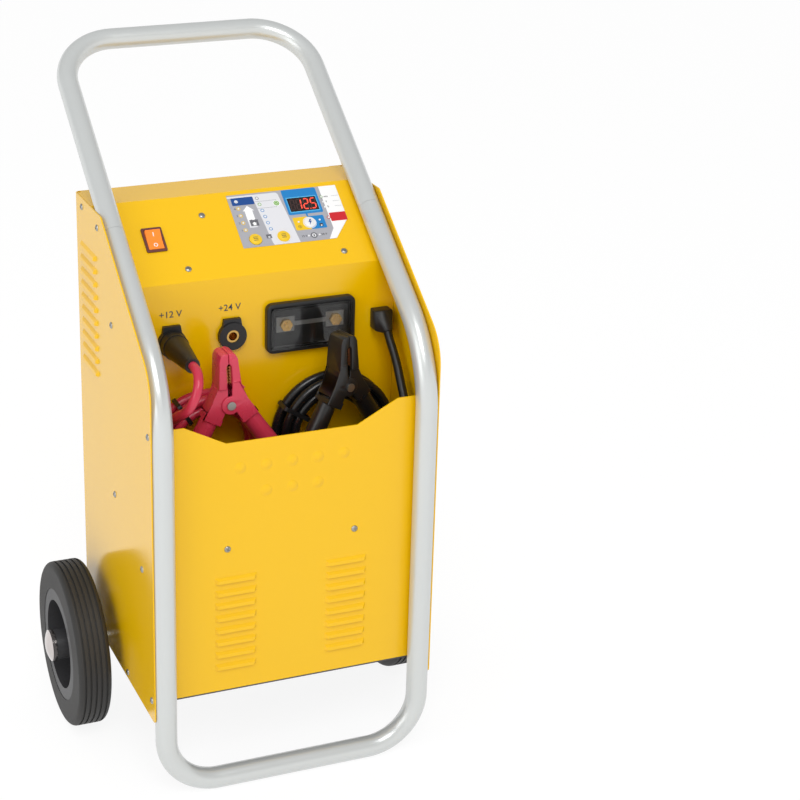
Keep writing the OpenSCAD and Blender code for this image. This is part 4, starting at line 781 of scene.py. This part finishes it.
# Each coat of ink lies on the one before it.
first, second, third, fourth = (FILM_TOP + INK_T * coat for coat in (1, 2, 3, 4))
prints = [
    (ink_pale, first, [[
        (-7, 10.6), (-7, 8.3), (52.3, 8.3), (54.5, 8.9), (55.9, 11), (63, 82.4), (31, 82.4), (29.8, 79),
        (24.9, 21.9), (23.5, 12.6), (22.3, 11), (20.5, 10.6)]]),
    (ink_white, first, [[(108.4, 6.1), (129.9, 6.1), (129.9, 56), (108.1, 82.3), (99.2, 82.3), (108.4, 68)]]),
    (ink_navy, second, [rounded(-3.1, 10.6, 24.3, 21.8, 1.2)]),
    (ink_white, second, [[
        (13.9, 23.3), (20.8, 30.7), (18.5, 30.7), (18.5, 46), (9.0, 46), (9.0, 30.7), (6.7, 30.7)]]),
    (ink_pale, second, [rounded(9.0, 46, 18.5, 55)]),
    (ink_grey, third, battery(16, 48.4, 10, 9.4)),
    (ink_white, fourth, house(16, 49.6, 6, 5)),
    (ink_yellow, second, round_all(CHARGE_LIGHTS[1:], 1.7, 2.5)),
    (ink_white, third, hoop(2.6, 16, 1.6, 2.2)),
    (ink_grey, second, [rounded(24.8, 18.6, 52, 18.9), rounded(25.4, 28.7, 50, 29.0)]),
    (ink_grey, second, round_all(MODE_LIGHTS[:1], 1.6, 2.2)),
    (ink_green, second, round_all(MODE_LIGHTS[1:2], 1.6, 2.3)),
    (ink_blue, second, round_all(MODE_LIGHTS[2:], 1.6, 2.3)),
    (ink_white, second, [disc(50.6, 23.8, 4.3, 32)]),
    (ink_green, third, [disc(50.6, 23.8, 3.5, 32)]),
    (ink_pale, fourth, hoop(50.6, 23.8, 2.1, 2.5) + [
        [(49.4, 23.2), (50.6, 24.5), (52.3, 22.3), (52.6, 22.7), (50.6, 25.2), (49.1, 23.6)]]),
    (ink_grey, second, battery(27.7, 69.6, 6.4, 5.8)),
    (ink_pale, third, house(27.7, 70.6, 3.8, 2.4)),
    (ink_blue, second, [rounded(60.6, 6.3, 103.8, 43.3, 2.0), rounded(81.2, 43, 83.4, 48)]),
    (ink_sky, third, [rounded(63.4, 17.8, 101.2, 40.2, 1.0)]),
    (ink_yellow, second, [rounded(63, 47.4, 82.3, 66.1, 1.5)]),
    (ink_blue, second, [rounded(82.3, 47.4, 101.6, 66.1, 1.5)]),
    (ink_pale, third, hoop(START_X, START_DOWN, 7.35, 8.2, 40)),
    (ink_dark, third, hoop(69, 60.9, 1.9, 2.3) + [
        rounded(67.9, 60.9 + d - 0.2, 70.1, 60.9 + d + 0.2) for d in (-0.8, 0, 0.8)]),
    (ink_dark, third, battery(95.4, 61.2, 4.4, 4.2)),
    (ink_white, fourth, house(95.4, 61.9, 2.6, 2)),
    (ink_grey, second, hoop(82, 75, 2.6, 4.1, 32)),
    (ink_white, second, [disc(82, 75, 2.6, 6)]),
    (ink_grey, third, [disc(82, 75, 1.2, 16), rounded(81.6, 75, 82.4, 77)]),
    (ink_green, third, round_all(UNIT_LIGHTS[:1], 1.6, 2.1)),
    (ink_grey, third, [rounded(120, y - 0.2, 128.6, y + 0.1) for x, y in UNIT_LIGHTS]),
    (ink_red, third, [rounded(109.5, 45.6, 129.9, 58, 0.6)]),
    (ink_red, third, hoop(107.5, 52, 1.7, 2.3)),
    (ink_dark, third, words("12 V", 70, 75, 4) + words("24 V", 94.6, 75, 4)),
    (ink_dark, third, [t for i, n in enumerate("4321") for t in words(n, -1.7, 26.4 + 10.4 * i, 3.6)]),
    (ink_dark, third, [t for (x, y), unit in zip(UNIT_LIGHTS, ("min", "V", "%"))
                       for t in words(unit, x + 3.1, y, 3.6, "LEFT")]),
]
panel_print = print_on("panel_print", "charger", panel_point, prints)

# ---- Display ----
# A dark window over the panel's lit figures, with three figures and a point that show a
# plain number. The bars that aren't lit show faintly through the window.

window_black = ink("display window", "1E0F0E", rough=0.12)
digit_red = ink("lit digits", "E84A38")
lit_up(digit_red, "F04A34", 0.6)
digit_off = ink("unlit digits", "3E2825")
finish_with(window_black, "display_module")

WINDOW_UP, DIGIT_UP = FILM_TOP + 0.09, FILM_TOP + 0.12
DIGIT_DOWN, DIGIT_W, DIGIT_H, BAR_T = 21.8, 5.6, 14.4, 1.7
SLANT = 0.1


def figure(lit, x, y, w, h, t):
    """The bars of one of the display's figures that are lit, or that aren't."""
    bars = {"a": (0, 0, 1, 0), "b": (1, 0, 1, 1), "c": (1, 1, 1, 2), "d": (0, 2, 1, 2),
            "e": (0, 1, 0, 2), "f": (0, 0, 0, 1), "g": (0, 1, 1, 1)}
    shapes = []
    for key, (x0, y0, x1, y1) in bars.items():
        if key not in lit:
            continue
        ax, ay, bx, by = x + x0 * w, y + y0 * h / 2, x + x1 * w, y + y1 * h / 2
        gap, half = t * 0.18, t / 2
        if y0 == y1:
            ring = [(ax + gap, ay), (ax + gap + half, ay - half), (bx - gap - half, ay - half),
                    (bx - gap, ay), (bx - gap - half, ay + half), (ax + gap + half, ay + half)]
        else:
            ring = [(ax, ay + gap), (ax + half, ay + gap + half), (ax + half, by - gap - half),
                    (ax, by - gap), (ax - half, by - gap - half), (ax - half, ay + gap + half)]
        shapes.append([(px - SLANT * (py - y - h / 2), py) for px, py in ring])
    return shapes


window = [(window_black, WINDOW_UP, [rounded(64.4, 19.1, 100.2, 38.9, 0.6)])]
for x, lit_bars in ((74.3, "bc"), (83.2, "abged"), (92.2, "afgcd")):
    rest = "".join(bar for bar in "abcdefg" if bar not in lit_bars)
    window.append((digit_red, DIGIT_UP, figure(lit_bars, x, DIGIT_DOWN, DIGIT_W, DIGIT_H, BAR_T)))
    window.append((digit_off, DIGIT_UP, figure(rest, x, DIGIT_DOWN, DIGIT_W, DIGIT_H, BAR_T)))
window.append((digit_red, DIGIT_UP, [disc(90.0, 36.4, 0.8, 12)]))
window.append((digit_off, DIGIT_UP, figure("abcdefg", 67.0, DIGIT_DOWN, 4.4, DIGIT_H, 1.3)))
display_print = print_on("display_print", "charger", panel_point, window)

# ---- Buttons and lights ----
# Moulded buttons that stand through the film on short springs, two yellow and one white, with
# a printed sign on each low crown. The small lights are white lenses pushed into the film.

button_yellow = skin("button yellow", "F0C61C", rough=0.42, tone=0.06, patch=80, smudge=0.08, grain=2200,
                     relief=0.08)
button_white = skin("button white", "E9E9EA", rough=0.35, tone=0.04, patch=80, smudge=0.08, grain=2200,
                    relief=0.05)
finish_with(button_yellow, "charge_button", "timer_button")
finish_with(button_white, "start_button", "status_lights")

BUTTON_UP = 2.4
YELLOW_CROWN_R, START_CROWN_R = 15, 14


def button_face(at_x, at_down, crown_r):
    """Points on a button's crown, which is a shallow dome."""
    def to_face(x, y, up):
        fall = crown_r - math.sqrt(crown_r ** 2 - x * x - y * y)
        return panel_point(at_x + x, at_down + y, BUTTON_UP - fall + up)
    return to_face


bars = [rounded(-2.7, d - 0.4, 2.7, d + 0.4) for d in (-2.2, 0, 2.2)]
for name, body, x in (("charge_sign", "charge_key", CHARGE_X), ("timer_sign", "timer_key", TIMER_X)):
    crown = button_face(x, BUTTON_DOWN, YELLOW_CROWN_R)
    sign = print_on(name, body, crown, [(ink_dark, INK_UP, bars)], fine=2)
bolt = [[(0.6, -4.2), (-2.2, 0.6), (-0.5, 0.4), (-1.3, 4.4), (2.4, -1.2), (0.5, -0.9), (2.6, -4.2)]]
start_sign = print_on("start_sign", "start_key", button_face(START_X, START_DOWN, START_CROWN_R),
                      [(ink_navy, INK_UP, bolt)], fine=3)

# ---- Fuse ----
# A plain zinc strip, held by two brass nuts on the studs of a moulded black base. A black frame
# stands round it, and a cover of clear plastic is pushed over it and pulls straight off.

brass = skin("brass", "C9A15A", rough=0.25, tone=0.15, patch=120, smudge=0.15, grain=2500, relief=0.05,
             metallic=1.0)
dull_zinc = skin("dull zinc", "9A9B98", rough=0.45, tone=0.3, patch=150, smudge=0.2, grain=1800, relief=0.1,
                 metallic=0.9)
finish_with(black_plastic, "fuse_base")
softened("fuse_frame", "charger", 0.0012, black_plastic, "black_plastic")
finish_with(brass, "fuse_nuts")
finish_with(dull_zinc, "fuse_strip")
clear, tree, surface = new_material("clear cover")
surface.inputs["Transmission Weight"].default_value = 1.0
surface.inputs["Roughness"].default_value = 0.03
surface.inputs["IOR"].default_value = 1.35
finish_with(clear, "fuse_cover")

# ---- Glands and mains plug ----
# Black mouldings where leads go through the sheet, with a flange on it and a tail that tapers
# along the mains lead. The plug at its far end is moulded on.

softened("mains_gland", "charger", 0.0016, black_plastic, "black_rubber")
finish_with(black_plastic, "lead_gland", "mains_plug")

# ---- Sockets and lead plug ----
# Black moulded sockets with turned brass inserts, fixed in the recessed wall. The red lead's
# plug is pushed into the left one, and the right one is free. Their voltages are printed above.

finish_with(black_plastic, "socket_bodies", "lead_plug")
finish_with(brass, "socket_inserts", "lead_plug_pin")

socket_print = print_on("socket_print", "charger", lambda x, y, up: place(x, WALL_Y - up, -y), [
    (ink_dark, INK_UP, words("+12 V", -105.5, -541, 11) + words("+24 V", -35, -541, 11)),
])

# ---- Clamps ----
# Two moulded halves that turn on a pin, with a spring round it that shuts them. Each half is two
# cheeks with a wall between them at the back, and has a copper jaw. The lead is held in one handle.

clamp_red = skin("clamp red", "D23A54", rough=0.28, tone=0.12, patch=40, smudge=0.1, grain=1200, relief=0.05)
clamp_black = skin("clamp black", "1B1A1A", rough=0.3, tone=0.2, patch=40, smudge=0.1, grain=1200,
                   relief=0.05)
copper = skin("copper jaw", "B8734A", rough=0.3, tone=0.25, patch=120, smudge=0.2, grain=1500, relief=0.1,
              metallic=1.0)
CHEEK_OUT, CHEEK_IN, CHEEK_T, WEB_T = 13, 10.6, 2, 1.8
BACK_EDGE = [(10.9, 27), (20.6, 5.3), (27.4, -5.7)]  # of a half, from its jaw down to its handle


def webs(at, yaw, tilt, side, half_depth):
    """The walls that join the two cheeks of a half along its back edge, as the corners of blocks."""
    deep = Vector((-math.sin(math.radians(yaw)), math.cos(math.radians(yaw)), 0))
    blocks = []
    for (x0, z0), (x1, z1) in zip(BACK_EDGE, BACK_EDGE[1:]):
        run = Vector((x1 - x0, z1 - z0)).normalized() * WEB_T
        inner = (-abs(run.y), -run.x)
        corners = []
        for x, z in ((x0, z0), (x1, z1)):
            for y in (-half_depth, half_depth):
                for i in (0, 1):
                    across = as_clamp(side * (x + inner[0] * i), z + inner[1] * i, yaw, tilt)
                    corners.append(place(*(at + across + deep * y)))
        blocks.append(corners)
    return blocks


for colour, at, yaw, tilt, side, material, slot in (
        ("red", RED_AT, RED_YAW, RED_TILT, 1, clamp_red, "red_plastic"),
        ("black", BLACK_AT, BLACK_YAW, BLACK_TILT, -1, clamp_black, "black_clamp")):
    fixed_webs = webs(at, yaw, tilt, side, CHEEK_OUT - CHEEK_T / 2)
    moving_webs = webs(at, yaw, tilt, -side, CHEEK_IN - CHEEK_T / 2)
    softened(colour + "_clamp_fixed", "charger", 0.001, material, slot, fixed_webs)
    softened(colour + "_clamp_moving", colour + "_jaw", 0.001, material, slot, moving_webs)
finish_with(copper, "red_moving_jaw", "black_moving_jaw", "fixed_jaws")
finish_with(zinc, "clamp_pins", "clamp_springs")
place(*red_route[0])
place(*black_route[0])

# ---- Inner parts ----
# The transformer's stacked steel core with its varnished copper windings, the finned rectifier
# on its zinc-plated bracket, and the control board on the screws of the control panel.

core_steel = skin("core steel", "55565A", rough=0.5, tone=0.3, patch=30, smudge=0.2, grain=900, relief=0.2,
                  metallic=0.8)
winding = skin("winding", "7A3A16", rough=0.35, tone=0.4, patch=120, smudge=0.2, grain=700, relief=0.3)
board_green = skin("board", "1C5A2E", rough=0.35, tone=0.2, patch=60, smudge=0.1, grain=1500, relief=0.05)
finish_with(core_steel, "transformer_core", "rectifier")
finish_with(winding, "transformer_windings")
finish_with(zinc, "rectifier_bracket")
finish_with(board_green, "control_board")
